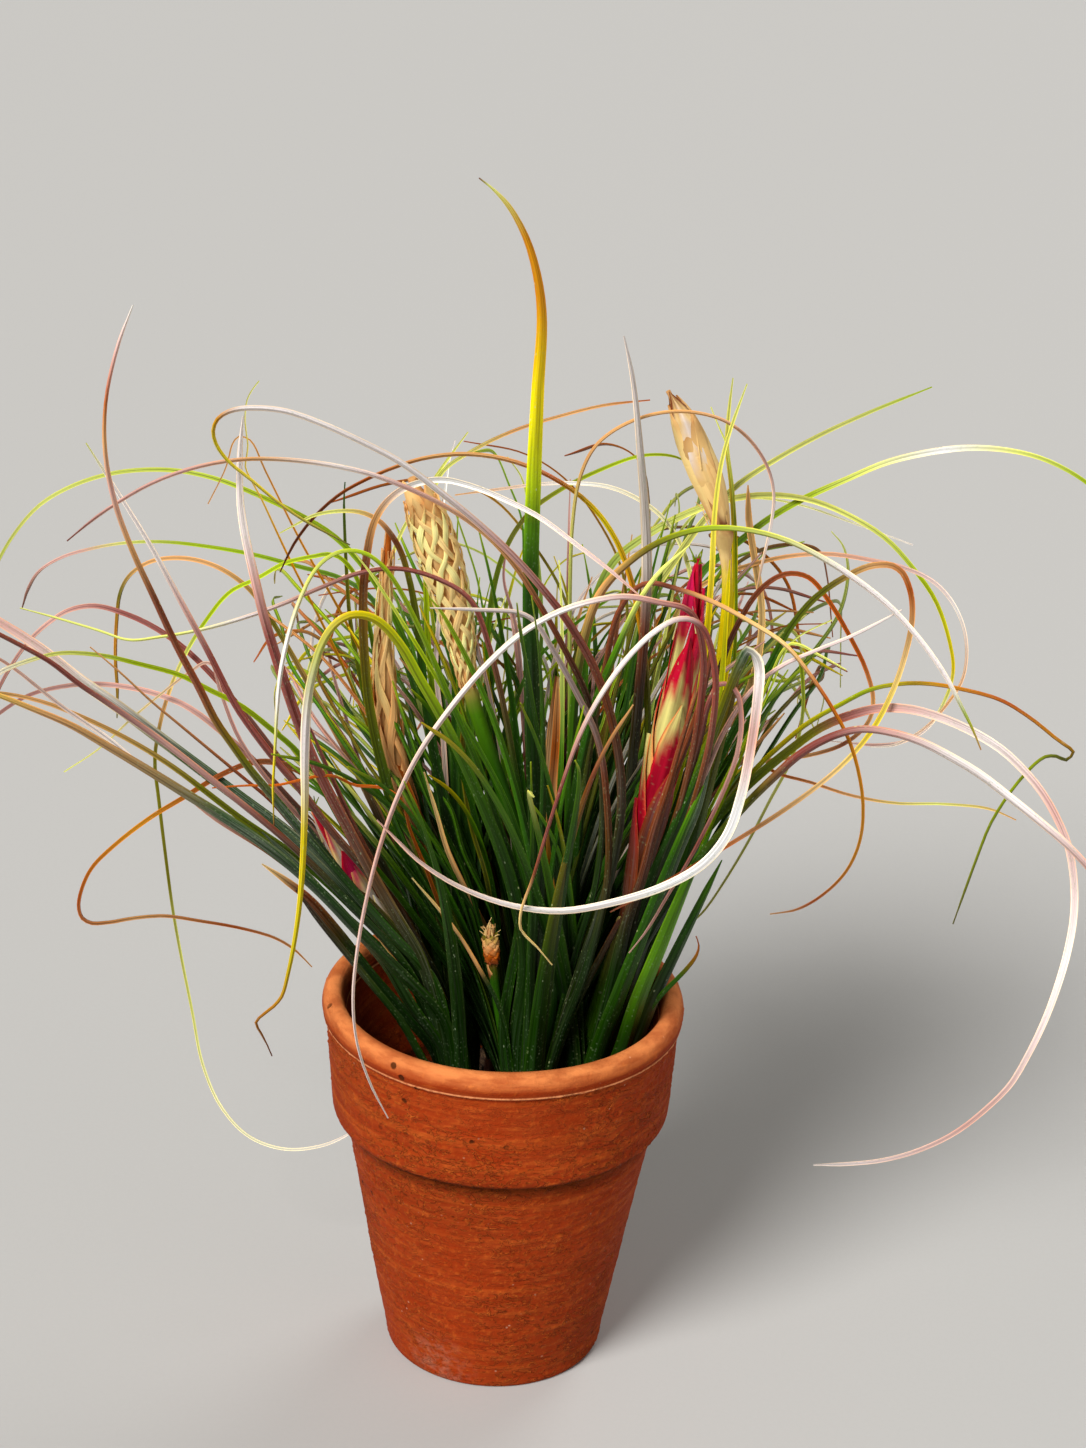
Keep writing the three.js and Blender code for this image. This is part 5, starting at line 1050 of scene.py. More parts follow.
class Shape:
    """Meshes gathered into one, with how each point lies on its blade and how it is shaded."""

    def __init__(self):
        self.points, self.faces, self.places, self.tints, self.scurfs = ([] for _ in range(5))
        self.count = 0

    def add_rings(self, rings, across, along, tints, scurfs, closed=True):
        """Rings of points with the same count, joined up and, where closed, capped at both ends."""
        rows, around = rings.shape[:2]
        size = rows * around
        turned = np.roll(np.arange(around), -1)
        faces = [(a + i, a + j, a + around + j, a + around + i)
                 for a in range(0, size - around, around) for i, j in enumerate(turned.tolist())]
        if closed:
            faces += [tuple(range(around))[::-1], tuple(range(size - around, size))]
        tints = np.array(tints, float)
        if tints.ndim == 2:
            tints = np.broadcast_to(tints[:, None, :], (rows, around, 3))
        along = np.array(along)[:, None]
        self.faces += [tuple(i + self.count for i in face) for face in faces]
        self.points.append(rings.reshape(-1, 3))
        places = [np.broadcast_to(place, (rows, around)) for place in (across, along)]
        self.places.append(np.stack(places, -1).reshape(-1, 2))
        self.tints.append(tints.reshape(-1, 3))
        cover = np.array(scurfs, float).reshape(rows, -1)
        self.scurfs.append(np.broadcast_to(cover, (rows, around)).reshape(-1))
        self.count += size

    def add_shaded(self, rings, across, along, shades, shares, settings):
        """Rings shaded plainly from the first to the last."""
        self.add_rings(rings, across, along, *shading(shades, shares, settings))

    def piece(self, name, material, node, sharp=40):
        """The gathered meshes as one piece of the scene that stands for a CAD node."""
        mesh = bpy.data.meshes.new(name)
        mesh.from_pydata((np.concatenate(self.points) * MM).tolist(), [], self.faces)
        tint = mesh.color_attributes.new("tint", "FLOAT_COLOR", "POINT")
        rgba = np.concatenate([np.concatenate(self.tints), np.ones((self.count, 1))], axis=1)
        tint.data.foreach_set("color", np.clip(rgba, 0, 1).astype(np.float32).ravel())
        scurf = mesh.attributes.new("scurf", "FLOAT", "POINT")
        scurf.data.foreach_set("value", np.concatenate(self.scurfs).astype(np.float32))
        corners = np.zeros(len(mesh.loops), np.int32)
        mesh.loops.foreach_get("vertex_index", corners)
        layer = mesh.uv_layers.new(name="UVMap")
        layer.data.foreach_set("uv", np.concatenate(self.places)[corners].astype(np.float32).ravel())
        mesh.shade_smooth()
        mesh.set_sharp_from_angle(angle=math.radians(sharp))
        mesh.validate()
        mesh.update()
        obj = bpy.data.objects.new(name, mesh)
        bpy.context.scene.collection.objects.link(obj)
        obj.data.materials.append(material)
        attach(obj, "root")
        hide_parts(node)


def ring(radius, z, angles, x=0, y=0):
    level = np.full(angles.shape, float(z))
    return np.stack([x + radius * np.cos(angles), y + radius * np.sin(angles), level], 1)


def circle(sides):
    return np.arange(sides) * 2 * math.pi / sides


def spokes(along, face, angles):
    """The directions at angles round each step of a line: a row of them for each step."""
    across = np.cross(along, face)
    return across[:, None] * np.cos(angles)[..., None] + face[:, None] * np.sin(angles)[..., None]


def smoothed(rings, bends):
    """More rings where a blade turns fast, each between two others on a smooth line."""
    kept = [rings[0]]
    at = [0.0]
    for i in range(len(rings) - 1):
        if bends[i] > SHARPEST_TURN:
            before = rings[max(i - 1, 0)]
            after = rings[min(i + 2, len(rings) - 1)]
            kept.append((9 * (rings[i] + rings[i + 1]) - before - after) / 16)
            at.append(i + 0.5)
        kept.append(rings[i + 1])
        at.append(i + 1.0)
    return np.array(kept), np.array(at)


def add_leaf(shape, leaf, settings, draws):
    """A finer blade on the CAD blade's route: a channelled face over a rounded keel, drawn in to a point."""
    route, sizes = leaf.route, settings.leaves
    shares = route.shares()
    run = shares * route.length
    bare = 1 - shading(leaf.shades, shares, settings)[1]
    slim = 1 - sizes.narrow * (0.4 + 0.6 * bare) * np.clip(run / NARROW_RUN, 0, 1) * min(1, 2 / leaf.fullness)
    width = leaf.widths() * slim * (1 + sizes.sheath * np.clip(1 - run / SHEATH_RUN, 0, 1))
    left = np.clip((route.length - run) / (sizes.tip_length / MM), 0, 1)
    width = np.maximum(width * np.sqrt(left), sizes.tip / MM)
    depth = np.maximum(KEEL_LEAST * (0.35 + 0.65 * left), KEEL_SHARE * width)
    broad = np.clip((width - 1) / 2, 0, 1)
    middle = depth * 0.92 * (1 - broad) + sizes.blade / MM * broad
    x = BLADE_SECTION
    bow = 1 - np.abs(x) ** 1.8
    sunk = np.where(np.arange(8) < 5, depth[:, None], (depth - middle)[:, None]) * bow
    y = (CHANNEL * width)[:, None] - sunk
    half = width * (1 + 0.04 * np.sin(run / WAVE_RUN + draws.next() * 9)) / 2
    rings = (route.places[:, None, :] + route.across()[:, None, :] * (x[None, :, None] * half[:, None, None])
             + route.faces[:, None, :] * y[:, :, None])
    rings, at = smoothed(rings, np.degrees(route.bends))
    tints, cover = shading(leaf.shades, at / route.steps, settings)
    # Partly the base's own darker colour, partly painted shade low in the clump: near its root the blade is
    # pulled towards its root's colour.
    shaded = min(sizes.shaded / MM, PAINTED_SHADE_SHARE * route.length)
    low = np.clip((shaded - at / route.steps * route.length) / (shaded * PAINTED_SHADE_FADE), 0, 1)[:, None]
    low = PAINTED_SHADE_DEPTH * low
    tints = tints * (1 - low) + tints[0] * low
    light = 1 + draws.between(-0.24, 0.2)
    tints = tints * light * (1 + 0.07 * np.sin(at[:, None] / 5 + draws.next() * 6))
    shape.add_rings(rings, (x + 1) / 2 + draws.strip(), at * FINE_STEP * 0.1, tints, cover)


def add_stock(shape, rosette, settings):
    """The short stock that a rosette's leaves clasp."""
    bottom, top, radius = STOCK["bottom"], STOCK["top"], STOCK["radius"]
    profile = [(0.2, bottom), (radius * 0.9, bottom), (radius, bottom + 3), (radius, STOCK["shoulder"] - 2),
               (radius - 0.7, STOCK["shoulder"] + 2), (radius - 2, top - 1), (1.2, top), (0.2, top)]
    angles = circle(20)
    wobble = 1 + 0.05 * np.sin(angles * 5)
    rings = np.array([ring(r * wobble, z, angles, *ROSETTES[rosette]) for r, z in profile])
    shape.add_shaded(rings, angles / (2 * math.pi), np.linspace(0, 2, len(profile)), "umber 0 brown 1",
                     np.linspace(0, 1, len(profile)), settings)


class Shader:
    """A node material, built up call by call."""

    def __init__(self, name):
        self.material = bpy.data.materials.new(name)
        self.material.use_nodes = True
        self.tree = self.material.node_tree
        self.tree.nodes.clear()
        output = self.tree.nodes.new("ShaderNodeOutputMaterial")
        self.surface = self.tree.nodes.new("ShaderNodeBsdfPrincipled")
        self.tree.links.new(self.surface.outputs[0], output.inputs["Surface"])

    def put(self, socket, value):
        if isinstance(value, bpy.types.NodeSocket):
            self.tree.links.new(value, socket)
        elif socket.type == "RGBA":
            socket.default_value = tuple(value) + (1,)
        else:
            socket.default_value = value

    def add(self, kind, inputs, out=0, **settings):
        """One more node with its inputs and settings, as the output that is asked for."""
        node = self.tree.nodes.new("ShaderNode" + kind)
        for key, value in settings.items():
            setattr(node, key, value)
        for key, value in inputs.items():
            self.put(node.inputs[key], value)
        return node.outputs[out]

    def math(self, operation, *values):
        return self.add("Math", dict(enumerate(values)), operation=operation)

    def plus(self, a, b):
        return self.math("ADD", a, b)

    def minus(self, a, b):
        return self.math("SUBTRACT", a, b)

    def times(self, a, b):
        return self.math("MULTIPLY", a, b)

    def off(self, a, b):
        """How far apart two values are."""
        return self.math("ABSOLUTE", self.minus(a, b))

    def mix(self, factor, a, b, blend="MIX"):
        return self.add("Mix", {0: factor, 6: a, 7: b}, 2, data_type="RGBA", blend_type=blend)

    def ramp(self, factor, low, high, to_low, to_high):
        return self.add("MapRange", {"Value": factor, "From Min": low, "From Max": high, "To Min": to_low,
                                     "To Max": to_high})

    def noise(self, vector, scale, detail=2.0, rough=0.5, twist=0.0):
        return self.add("TexNoise", {"Vector": vector, "Scale": scale, "Detail": detail, "Roughness": rough,
                                     "Distortion": twist}, "Fac")

    def cells(self, vector, scale, spread=1.0):
        return self.add("TexVoronoi", {"Vector": vector, "Scale": scale, "Randomness": spread}, "Distance")

    def from_point(self, vector, point):
        return self.add("VectorMath", {0: vector, 1: point}, "Value", operation="DISTANCE")

    def stretched(self, vector, scale):
        return self.add("Mapping", {"Vector": vector, "Scale": scale})

    def attribute(self, name, out):
        return self.add("Attribute", {}, out, attribute_name=name, attribute_type="GEOMETRY")

    def object_place(self):
        return self.add("TexCoord", {}, "Object")

    def bump(self, height, strength, distance):
        self.put(self.surface.inputs["Normal"],
                 self.add("Bump", {"Height": height, "Strength": strength, "Distance": distance}))

    def finish(self, **values):
        for key, value in values.items():
            self.put(self.surface.inputs[key.replace("_", " ")], value)
        return self.material


def leaf_material(name, settings):
    """A scaly leaf or papery bract: fine lines along it, pale scales in rows, a painted shade down its middle
    and a warm painted highlight along both edges.
    """
    if name in bpy.data.materials:
        return bpy.data.materials[name]
    skin = SKINS[name]
    s = Shader(name)
    tint = s.attribute("tint", "Color")
    cover = s.attribute("scurf", "Fac")
    place = s.add("UVMap", {}, uv_map="UVMap")
    across = s.math("FRACT", s.add("SeparateXYZ", {"Vector": place}, "X"))
    edge = s.off(s.times(across, 2.0), 1.0)
    lines = s.noise(s.stretched(place, (4.6, 0.22, 1)), 1.0, 3, 0.65)
    fine = s.noise(s.stretched(place, (14.0, 0.6, 1)), 1.0, 3, 0.6)
    scales = s.ramp(s.cells(s.stretched(place, (6.0, 11.0, 1)), 1.0, 0.8), 0.14, 0.36, 1, 0)
    drops = s.cells(s.stretched(place, (1.6, 2.2, 1)), 1.0)
    patch = s.noise(s.stretched(place, (1.0, 0.5, 1)), 1.3)
    dark = s.mix(1.0, tint, skin.line, "MULTIPLY")
    stripe = s.times(s.minus(1.0, s.ramp(lines, 0.4, 0.58, 0, 1)), settings.leaves.stripes * skin.stripes)
    base = s.mix(stripe, tint, dark)
    silver = s.times(s.times(cover, cover), s.ramp(fine, 0.45, 0.62, 0, 1))
    base = s.mix(s.times(silver, settings.leaves.scales), base, s.mix(0.6, tint, (0.95, 0.91, 0.86)))
    dots = s.times(s.times(scales, s.ramp(patch, 0.4, 0.56, 0, 1)), s.plus(cover, 0.2))
    base = s.mix(s.times(dots, skin.dots), base, (0.3, 0.42, 0.22))
    base = s.mix(s.ramp(drops, 0.05, 0.09, skin.drops, 0), base, (0.5, 0.6, 0.36))
    # Painted shade down the middle of the blade, weaker on silvery blades.
    channel = s.mix(1.0, base, (0.36, 0.32, 0.3), "MULTIPLY")
    groove = s.times(s.ramp(edge, 0.05, 0.3, skin.groove, 0), s.ramp(cover, 0.4, 0.8, 1, 0.4))
    base = s.mix(groove, base, channel)
    # Painted highlight: both edges of the blade lightened warm.
    rim = s.mix(1.0, base, (1.9, 1.6, 1.1), "MULTIPLY")
    base = s.mix(s.ramp(edge, 0.66, 0.94, 0, skin.rim), base, rim)
    s.bump(s.plus(s.times(lines, 0.8), s.times(scales, 0.1)), 0.6, 0.0005)
    rough = s.ramp(fine, 0.3, 0.7, *skin.rough)
    return s.finish(Base_Color=base, Roughness=rough, Specular_IOR_Level=skin.shine)


class PLANT_OT_rosettes(bpy.types.Operator):
    """Grow the six rosettes' finer leaves over the CAD rosettes"""

    bl_idname = "plant.rosettes"
    bl_label = "Grow the rosettes"

    def execute(self, context):
        settings = context.scene.plant
        for order, rosette in enumerate(ROSETTES):
            name = f"rosette_{rosette}"
            node = Node(name)
            leaves = [packed_traced_leaf(rosette, Line(*row), node) for row in TRACED_LEAVES[rosette]]
            leaves += packed_rule_leaves(rosette, node)
            leaves += [traced_leaf(rosette, Line("loose", *row)) for row in LOOSE_LEAVES[rosette]]
            leaves += added_leaves(rosette, FULL_LEAVES, settings.leaves.extra)
            leaves += added_leaves(rosette, THREADS, settings.leaves.threads)
            shape = Shape()
            draws = Draws(4001 + order)
            add_stock(shape, rosette, settings)
            for leaf in leaves:
                add_leaf(shape, leaf, settings, draws)
            shape.piece(f"leaves_{rosette}", leaf_material("scaly_leaf", settings), name)
        return {"FINISHED"}


def rounded(corners, parts=5):
    """A profile with each corner eased: (radius, height, how far the easing reaches along both sides)."""
    points = []
    for i, (r, z, cut) in enumerate(corners):
        here = np.array([r, z], float)
        if not cut or i in (0, len(corners) - 1):
            points.append(here)
            continue
        before, after = (np.array(corners[k][:2], float) - here for k in (i - 1, i + 1))
        a, b = (here + side * min(0.5, cut / np.linalg.norm(side)) for side in (before, after))
        points += [a * (1 - t) ** 2 + 2 * here * t * (1 - t) + b * t**2 for t in np.linspace(0, 1, parts)]
    return [p for i, p in enumerate(points) if not i or np.linalg.norm(p - points[i - 1]) > 1e-6]


def filled(points, step):
    """A profile with more points along its long runs."""
    line = [points[0]]
    for a, b in zip(points, points[1:]):
        parts = max(1, math.ceil(np.linalg.norm(b - a) / step))
        line += [a + (b - a) * (k + 1) / parts for k in range(parts)]
    return np.array(line)


def pot_profile():
    """The pot's section, up its outside from the drain hole and down its inside."""
    height, rim, lip = POT["height"], POT["rim"], POT["lip"]
    band, ridge = POT["band_bottom"], POT["height"] - POT["lip"]
    foot, drain, floor = POT["foot"], POT["drain_hole"], POT["floor"]
    inside = pot_inside(floor)
    return rounded([
        (drain, 0, 0),
        (foot - 0.6, 0, 0.8),
        (foot, 1, 1),
        (foot + 0.35, POT["foot_rounding"], 1.2),
        (POT["neck"], band - 1.2, 0.5),
        (POT["band_bottom_radius"] - 0.8, band - 1, 1.2),
        (POT["band_bottom_radius"], band + 0.8, 1.6),
        (POT["band_top_radius"], ridge - 0.8, 0.5),
        (rim - 0.3, ridge - 0.3, 0.3),
        (rim - 0.35, ridge + 0.5, 0.4),
        (rim, ridge + 1.7, 1),
        (rim - 0.6, height - 1, 1.1),
        (rim - 2.4, height, 1.4),
        (rim - lip + 0.8, height - 0.5, 1),
        (rim - lip, height - 2.6, 1.2),
        (rim - lip - 1, ridge - 3, 3),
        (pot_inside(band), band, 4),
        (inside, floor + POT["wall"] * 0.4, 2),
        (inside - POT["wall"] * 0.4, floor, 1.5),
        (drain, floor, 0.6),
        (drain, 0, 0),
    ])


def clay_material(settings):
    """Fired clay: turned lines round it, wrinkles, pinholes, pale specks and scuffs, and a mineral bloom, with
    painted highlights and painted shade.
    """
    pot = settings.pot
    s = Shader("fired_clay")
    place = s.object_place()
    high = s.add("SeparateXYZ", {"Vector": place}, "Z")
    relief = s.attribute("scurf", "Fac")
    tone = s.noise(place, 38, 4, 0.6)
    base = s.mix(s.ramp(tone, 0.4, 0.7, 0, 0.4), pot.clay, pot.dark)
    turned = s.noise(s.stretched(place, (14, 14, 560)), 1, 4, 0.6)
    base = s.mix(s.ramp(turned, 0.52, 0.75, 0, 0.22), base, pot.light)
    scuffs = s.noise(s.stretched(place, (150, 150, 620)), 1, 3, 0.55)
    base = s.mix(s.ramp(scuffs, 0.58, 0.7, 0, 0.15), base, pot.light)

    wrinkle = s.noise(s.stretched(place, (1, 1, 2.2)), 230, 3, 0.55, 1.6)
    rough = s.times(s.ramp(s.noise(place, 34), 0.42, 0.58, 0.25, 1), s.ramp(high, 0.0815, 0.083, 1, 0.12))
    # Painted light on the wrinkles: a lighter line on each ridge as painted highlight and a darker line beside
    # it as painted shade; both also shape the bump.
    ridge_painted_highlight = s.times(s.ramp(s.off(wrinkle, 0.53), 0.0, 0.022, 1, 0), rough)
    furrow_painted_shade = s.times(s.ramp(s.off(wrinkle, 0.565), 0.0, 0.02, 1, 0), rough)
    base = s.mix(s.times(furrow_painted_shade, 0.3), base, pot.dark)
    base = s.mix(s.times(ridge_painted_highlight, 0.62), base, pot.light)
    # Painted highlight: the clay is lighter where the turned skin stands out.
    base = s.mix(s.ramp(relief, 0.3, 0.95, 0, 0.2), base, pot.light)
    fine = s.noise(place, 900, 3, 0.6)
    base = s.mix(s.ramp(fine, 0.55, 0.7, 0, 0.2), base, pot.light)

    cluster = s.ramp(s.from_point(place, (-0.024, -0.031, 0.078)), 0.008, 0.012, 1, 0)
    where = s.math("MAXIMUM", s.ramp(s.noise(place, 60), 0.6, 0.68, 0, 1), cluster)
    pits = s.times(s.ramp(s.cells(place, 230), 0.12, 0.19, 1, 0), where)
    dusty = s.ramp(s.noise(place, 90), 0.52, 0.62, 0, 1)
    specks = s.times(s.ramp(s.cells(place, 330), 0.06, 0.1, 1, 0), dusty)
    base = s.mix(s.times(specks, 0.4), base, (0.75, 0.5, 0.34))

    ridge = (POT["height"] - POT["lip"] - 0.1) * MM
    # Painted shade in the narrow recess just above the ridge line below the lip.
    cut = s.ramp(s.off(s.minus(high, ridge), 0.0005), 0.00015, 0.0004, 0.55, 0)
    base = s.mix(cut, base, pot.dark)
    # Painted highlight along the ridge line, broken up by the fine noise.
    line = s.times(s.ramp(s.off(high, ridge), 0.00012, 0.00032, 1, 0), s.ramp(fine, 0.3, 0.5, 0.3, 1))
    base = s.mix(s.times(line, 0.65), base, (0.95, 0.4, 0.17))
    # Painted highlight over the lip, rising towards its top and broken up by the scuff noise.
    lip = s.times(s.ramp(high, 0.0838, 0.087, 0.05, 0.7), s.ramp(scuffs, 0.36, 0.6, 0.5, 1))
    base = s.mix(lip, base, (1.0, 0.34, 0.1))
    # Painted shade under the band, darkest just below its lower edge.
    under = s.math("MINIMUM", s.ramp(high, 0.053, 0.0586, 0, 0.85), s.ramp(high, 0.0588, 0.0598, 0.85, 0))
    base = s.mix(under, base, (0.06, 0.012, 0.0))
    patch = s.ramp(s.from_point(place, (-0.012, -0.022, 0.004)), 0.003, 0.01, 1, 0)
    bloom = s.times(patch, s.ramp(s.noise(place, 400, 3, 0.6), 0.42, 0.62, 0, 1))
    base = s.mix(s.times(bloom, 0.4), base, pot.bloom)
    # Painted shade: the pinholes darkened almost to black.
    base = s.mix(s.times(pits, 0.85), base, (0.04, 0.01, 0.0))

    height = s.plus(s.times(turned, 0.7), s.times(s.minus(ridge_painted_highlight, furrow_painted_shade), 0.5))
    height = s.plus(height, s.times(s.plus(scuffs, fine), 0.35))
    s.bump(s.minus(height, s.times(pits, 1.2)), 0.85, 0.0006)
    return s.finish(Base_Color=base, Roughness=s.ramp(tone, 0.3, 0.7, 0.65, 0.85), Specular_IOR_Level=0.07)


def bark_material(settings):
    """Bark chips: grain along them, dark clefts and paler broken edges."""
    s = Shader("bark")
    place = s.object_place()
    grain = s.noise(s.stretched(place, (500, 500, 1500)), 1, 4, 0.65)
    coarse = s.noise(place, 260, 3, 0.6)
    base = s.mix(s.ramp(grain, 0.42, 0.62, 0, 0.6), s.attribute("tint", "Color"), settings.bark.dust)
    base = s.mix(s.ramp(coarse, 0.5, 0.68, 0, 0.75), base, (0.018, 0.012, 0.008))
    s.bump(s.plus(grain, coarse), 0.8, 0.0006)
    return s.finish(Base_Color=base, Roughness=s.ramp(grain, 0.3, 0.7, 0.75, 0.95))


class Spike:
    """A flower spike's line: its stem and the body that its bracts clasp."""

    def __init__(self, name):
        self.values = SPIKES[name]
        x, y = ROSETTES[self.values["rosette"]]
        bottom = Vector((x, y, STOCK["bottom"] + GAP))
        top = Vector((x, y, STEM_STRAIGHT_TOP))
        points = track_points(top, pixels(self.values["track"]), *self.values["depth"])
        self.route = Route([bottom, bottom.lerp(top, 0.5), top] + points, (0, -1, 0), False)
        self.first = self.values["body"][0][0]

    def at(self, steps):
        """Place, direction, flat side and radius at steps along the route, which may fall between two."""
        steps = np.clip(steps, 0, self.route.steps)
        whole = np.arange(self.route.steps + 1)
        place, along, face = (np.stack([np.interp(steps, whole, rows[:, k]) for k in range(3)], 1)
                              for rows in (self.route.places, self.route.along, self.route.faces))
        return place, unit(along), unit(face), np.interp(steps / self.route.steps, *zip(*self.values["body"]))

    def end(self, back):
        """The place and direction a few steps back from the tip."""
        place, along, _, _ = self.at(np.array([self.route.steps - back]))
        return Vector(place[0]), Vector(along[0])

    def bract_start(self, index):
        """Where along the spike and round it one of its regular bracts starts, and its length."""
        values = self.values
        begin = self.first * self.route.steps - 2
        last = self.route.steps - values["length"] / FINE_STEP * 0.9
        turn = 2 * math.pi * index / values["rows"] + 0.35 * (index // values["rows"])
        return begin + (last - begin) * index / (values["bracts"] - 1), turn, values["length"]


def add_core(shape, spike, shades, settings):
    """The stem and the slimmer core that a spike's bracts lie on."""
    steps = np.linspace(0, spike.route.steps, spike.route.steps + 1)
    place, along, face, radius = spike.at(steps)
    shares = steps / spike.route.steps
    slim = np.where(shares < spike.first, 1, SPIKE_CORE_SHARE * np.where(shares < 0.97, 1, 0.6))
    radius = np.maximum(SPIKE_CORE_LEAST, radius * slim)
    angles = circle(12)
    rings = place[:, None] + radius[:, None, None] * spokes(along, face, angles)
    shape.add_shaded(rings, angles / 6, steps * FINE_STEP * 0.1, shades, shares, settings)


def add_bract(shape, spike, start, settings, draws, shades, margin, splay=0.0):
    """One bract: a pointed sheet that clasps the spike, follows it and ends just clear of it."""
    values = spike.values
    begin, turn, run = start
    turn += draws.between(-0.2, 0.2)
    t = np.linspace(0, 1, 15)
    place, along, face, body = spike.at(begin + t * run / FINE_STEP)
    broad, lift = (np.interp(t, BRACT_SHAPE[0], sizes) for sizes in BRACT_SHAPE[1:])
    broad = broad * (1 - np.clip((t - 0.86) / 0.14, 0, 1) ** 2 * 0.9)
    thick = settings.spikes.bract / MM
    clear = 0.4 * np.maximum(0.8, body * 0.45 * (1 - 0.5 * t))
    off = body * (lift + (values["stand"] + splay) * t) + clear - thick
    half = np.minimum(2.1, body * broad * 0.62 * values.get("wide", 1) / np.maximum(off, 0.4))
    twist = draws.between(-0.35, 0.35) * t**2
    s = np.linspace(-1, 1, 9)
    waves = np.sin(9 * t[:, None] + 4 * s + draws.next() * 6)
    ruffle = values.get("ruffle", 0.05) * body[:, None] * waves * np.abs(s)
    angle = turn + twist[:, None] + half[:, None] * s
    outer = off[:, None] * (1 - 0.1 * s**2) + thick + 0.1 * body[:, None] * (1 - np.abs(s)) ** 3 + ruffle
    inner = (outer - thick)[:, 1:-1][:, ::-1]
    angles = np.concatenate([angle, angle[:, 1:-1][:, ::-1]], axis=1)
    reach = np.concatenate([outer, inner], axis=1)
    rings = place[:, None] + reach[..., None] * spokes(along, face, angles)
    spread = np.concatenate([s, s[1:-1][::-1]])
    tongue = 0.24 * (np.abs(spread) - 0.35) + 0.06 * np.sin(13 * spread + 5 * turn)
    shares = np.clip(t[:, None] + tongue * np.clip(t * 4, 0, 1)[:, None], 0, 1)
    tints, cover = shading(shades, shares.ravel(), settings)
    edge = np.array(tuple(getattr(settings.shades, margin)))
    weight = (np.abs(spread) ** 3)[None, :, None] * 0.8
    tints = tints.reshape(shares.shape + (3,)) * (1 - weight) + edge * weight
    tints = tints * (1 + draws.between(-0.1, 0.1))
    shape.add_rings(rings, (spread + 1) / 2 + draws.strip(), t * run * 0.1, tints, cover)


def add_fibre(shape, points, width, shades, settings):
    """A thin loose fibre along points."""
    line = spline(points, 4)
    along = unit(np.gradient(line, axis=0))
    side = unit(np.cross(along, np.array([0.2, -0.9, 0.3])) + 1e-6)
    up = np.cross(side, along)
    angles = circle(4)
    taper = width / 2 * np.sqrt(np.linspace(1, 0.08, len(line)))
    rings = line[:, None] + taper[:, None, None] * (side[:, None] * np.cos(angles)[None, :, None]
                                                    + up[:, None] * 0.6 * np.sin(angles)[None, :, None])
    shares = np.linspace(0, 1, len(line))
    shape.add_shaded(rings, angles / 6, shares, shades, shares, settings)


def wrapped_fibres(shape, spike, count, settings, draws, shades, first=None):
    """Loose fibres that run slantwise over a spike, with their ends standing off."""
    first = first or spike.first
    for _ in range(count):
        start = (first + (0.92 - first) * draws.next()) * spike.route.steps
        run = draws.between(4, 11) / FINE_STEP
        turn = draws.between(0, 2 * math.pi)
        sweep = draws.between(-1.1, 1.1)
        t = np.linspace(0, 1, 6)
        place, along, face, body = spike.at(start + run * t)
        reach = body * (0.96 + 0.1 * draws.next()) + np.maximum(0, t - 0.7) * draws.between(0, 5)
        points = place + reach[:, None] * spokes(along, face, (turn + sweep * t)[:, None])[:, 0]
        add_fibre(shape, points, settings.spikes.fibre / MM, shades, settings)


def woven_strands(shape, spike, count, sweep, settings, draws, shades):
    """Flat straw strands wound both ways round a dried spike, passing over and under each other."""
    first = spike.first * spike.route.steps
    t = np.linspace(0, 1, 80)
    place, along, face, body = spike.at(first + (spike.route.steps * 0.97 - first) * t)
    spread = np.array([-1, -0.5, 0.5, 1, 0.5, -0.5])
    thick = np.array([0, 0.17, 0.17, 0, -0.17, -0.17])
    for hand in (1, -1):
        for k in range(count):
            angle = 2 * math.pi * k / count + hand * sweep * t + 0.07 * np.sin(t * 31 + draws.next() * 6)
            reach = body * 0.92 + 0.3 + 0.24 * hand * np.cos(count * sweep * t)
            out = spokes(along, face, angle[:, None])[:, 0]
            line = place + out * reach[:, None]
            side = unit(np.cross(unit(np.gradient(line, axis=0)), out))
            width = settings.spikes.strand / MM * (1 + 0.25 * np.sin(t * 23 + draws.next() * 6))
            width *= np.interp(t, [0, 0.1, 0.85, 1], [0.3, 1, 0.8, 0.25]) * body / body.max()
            rings = (line[:, None] + side[:, None] * (spread[None, :, None] * width[:, None, None] / 2)
                     + out[:, None] * thick[None, :, None])
            tints, cover = shading(shades, t, settings)
            tints = tints * draws.between(1, 1.5)
            shape.add_rings(rings, (spread + 1) / 2 + draws.strip(), t * 4, tints, cover)


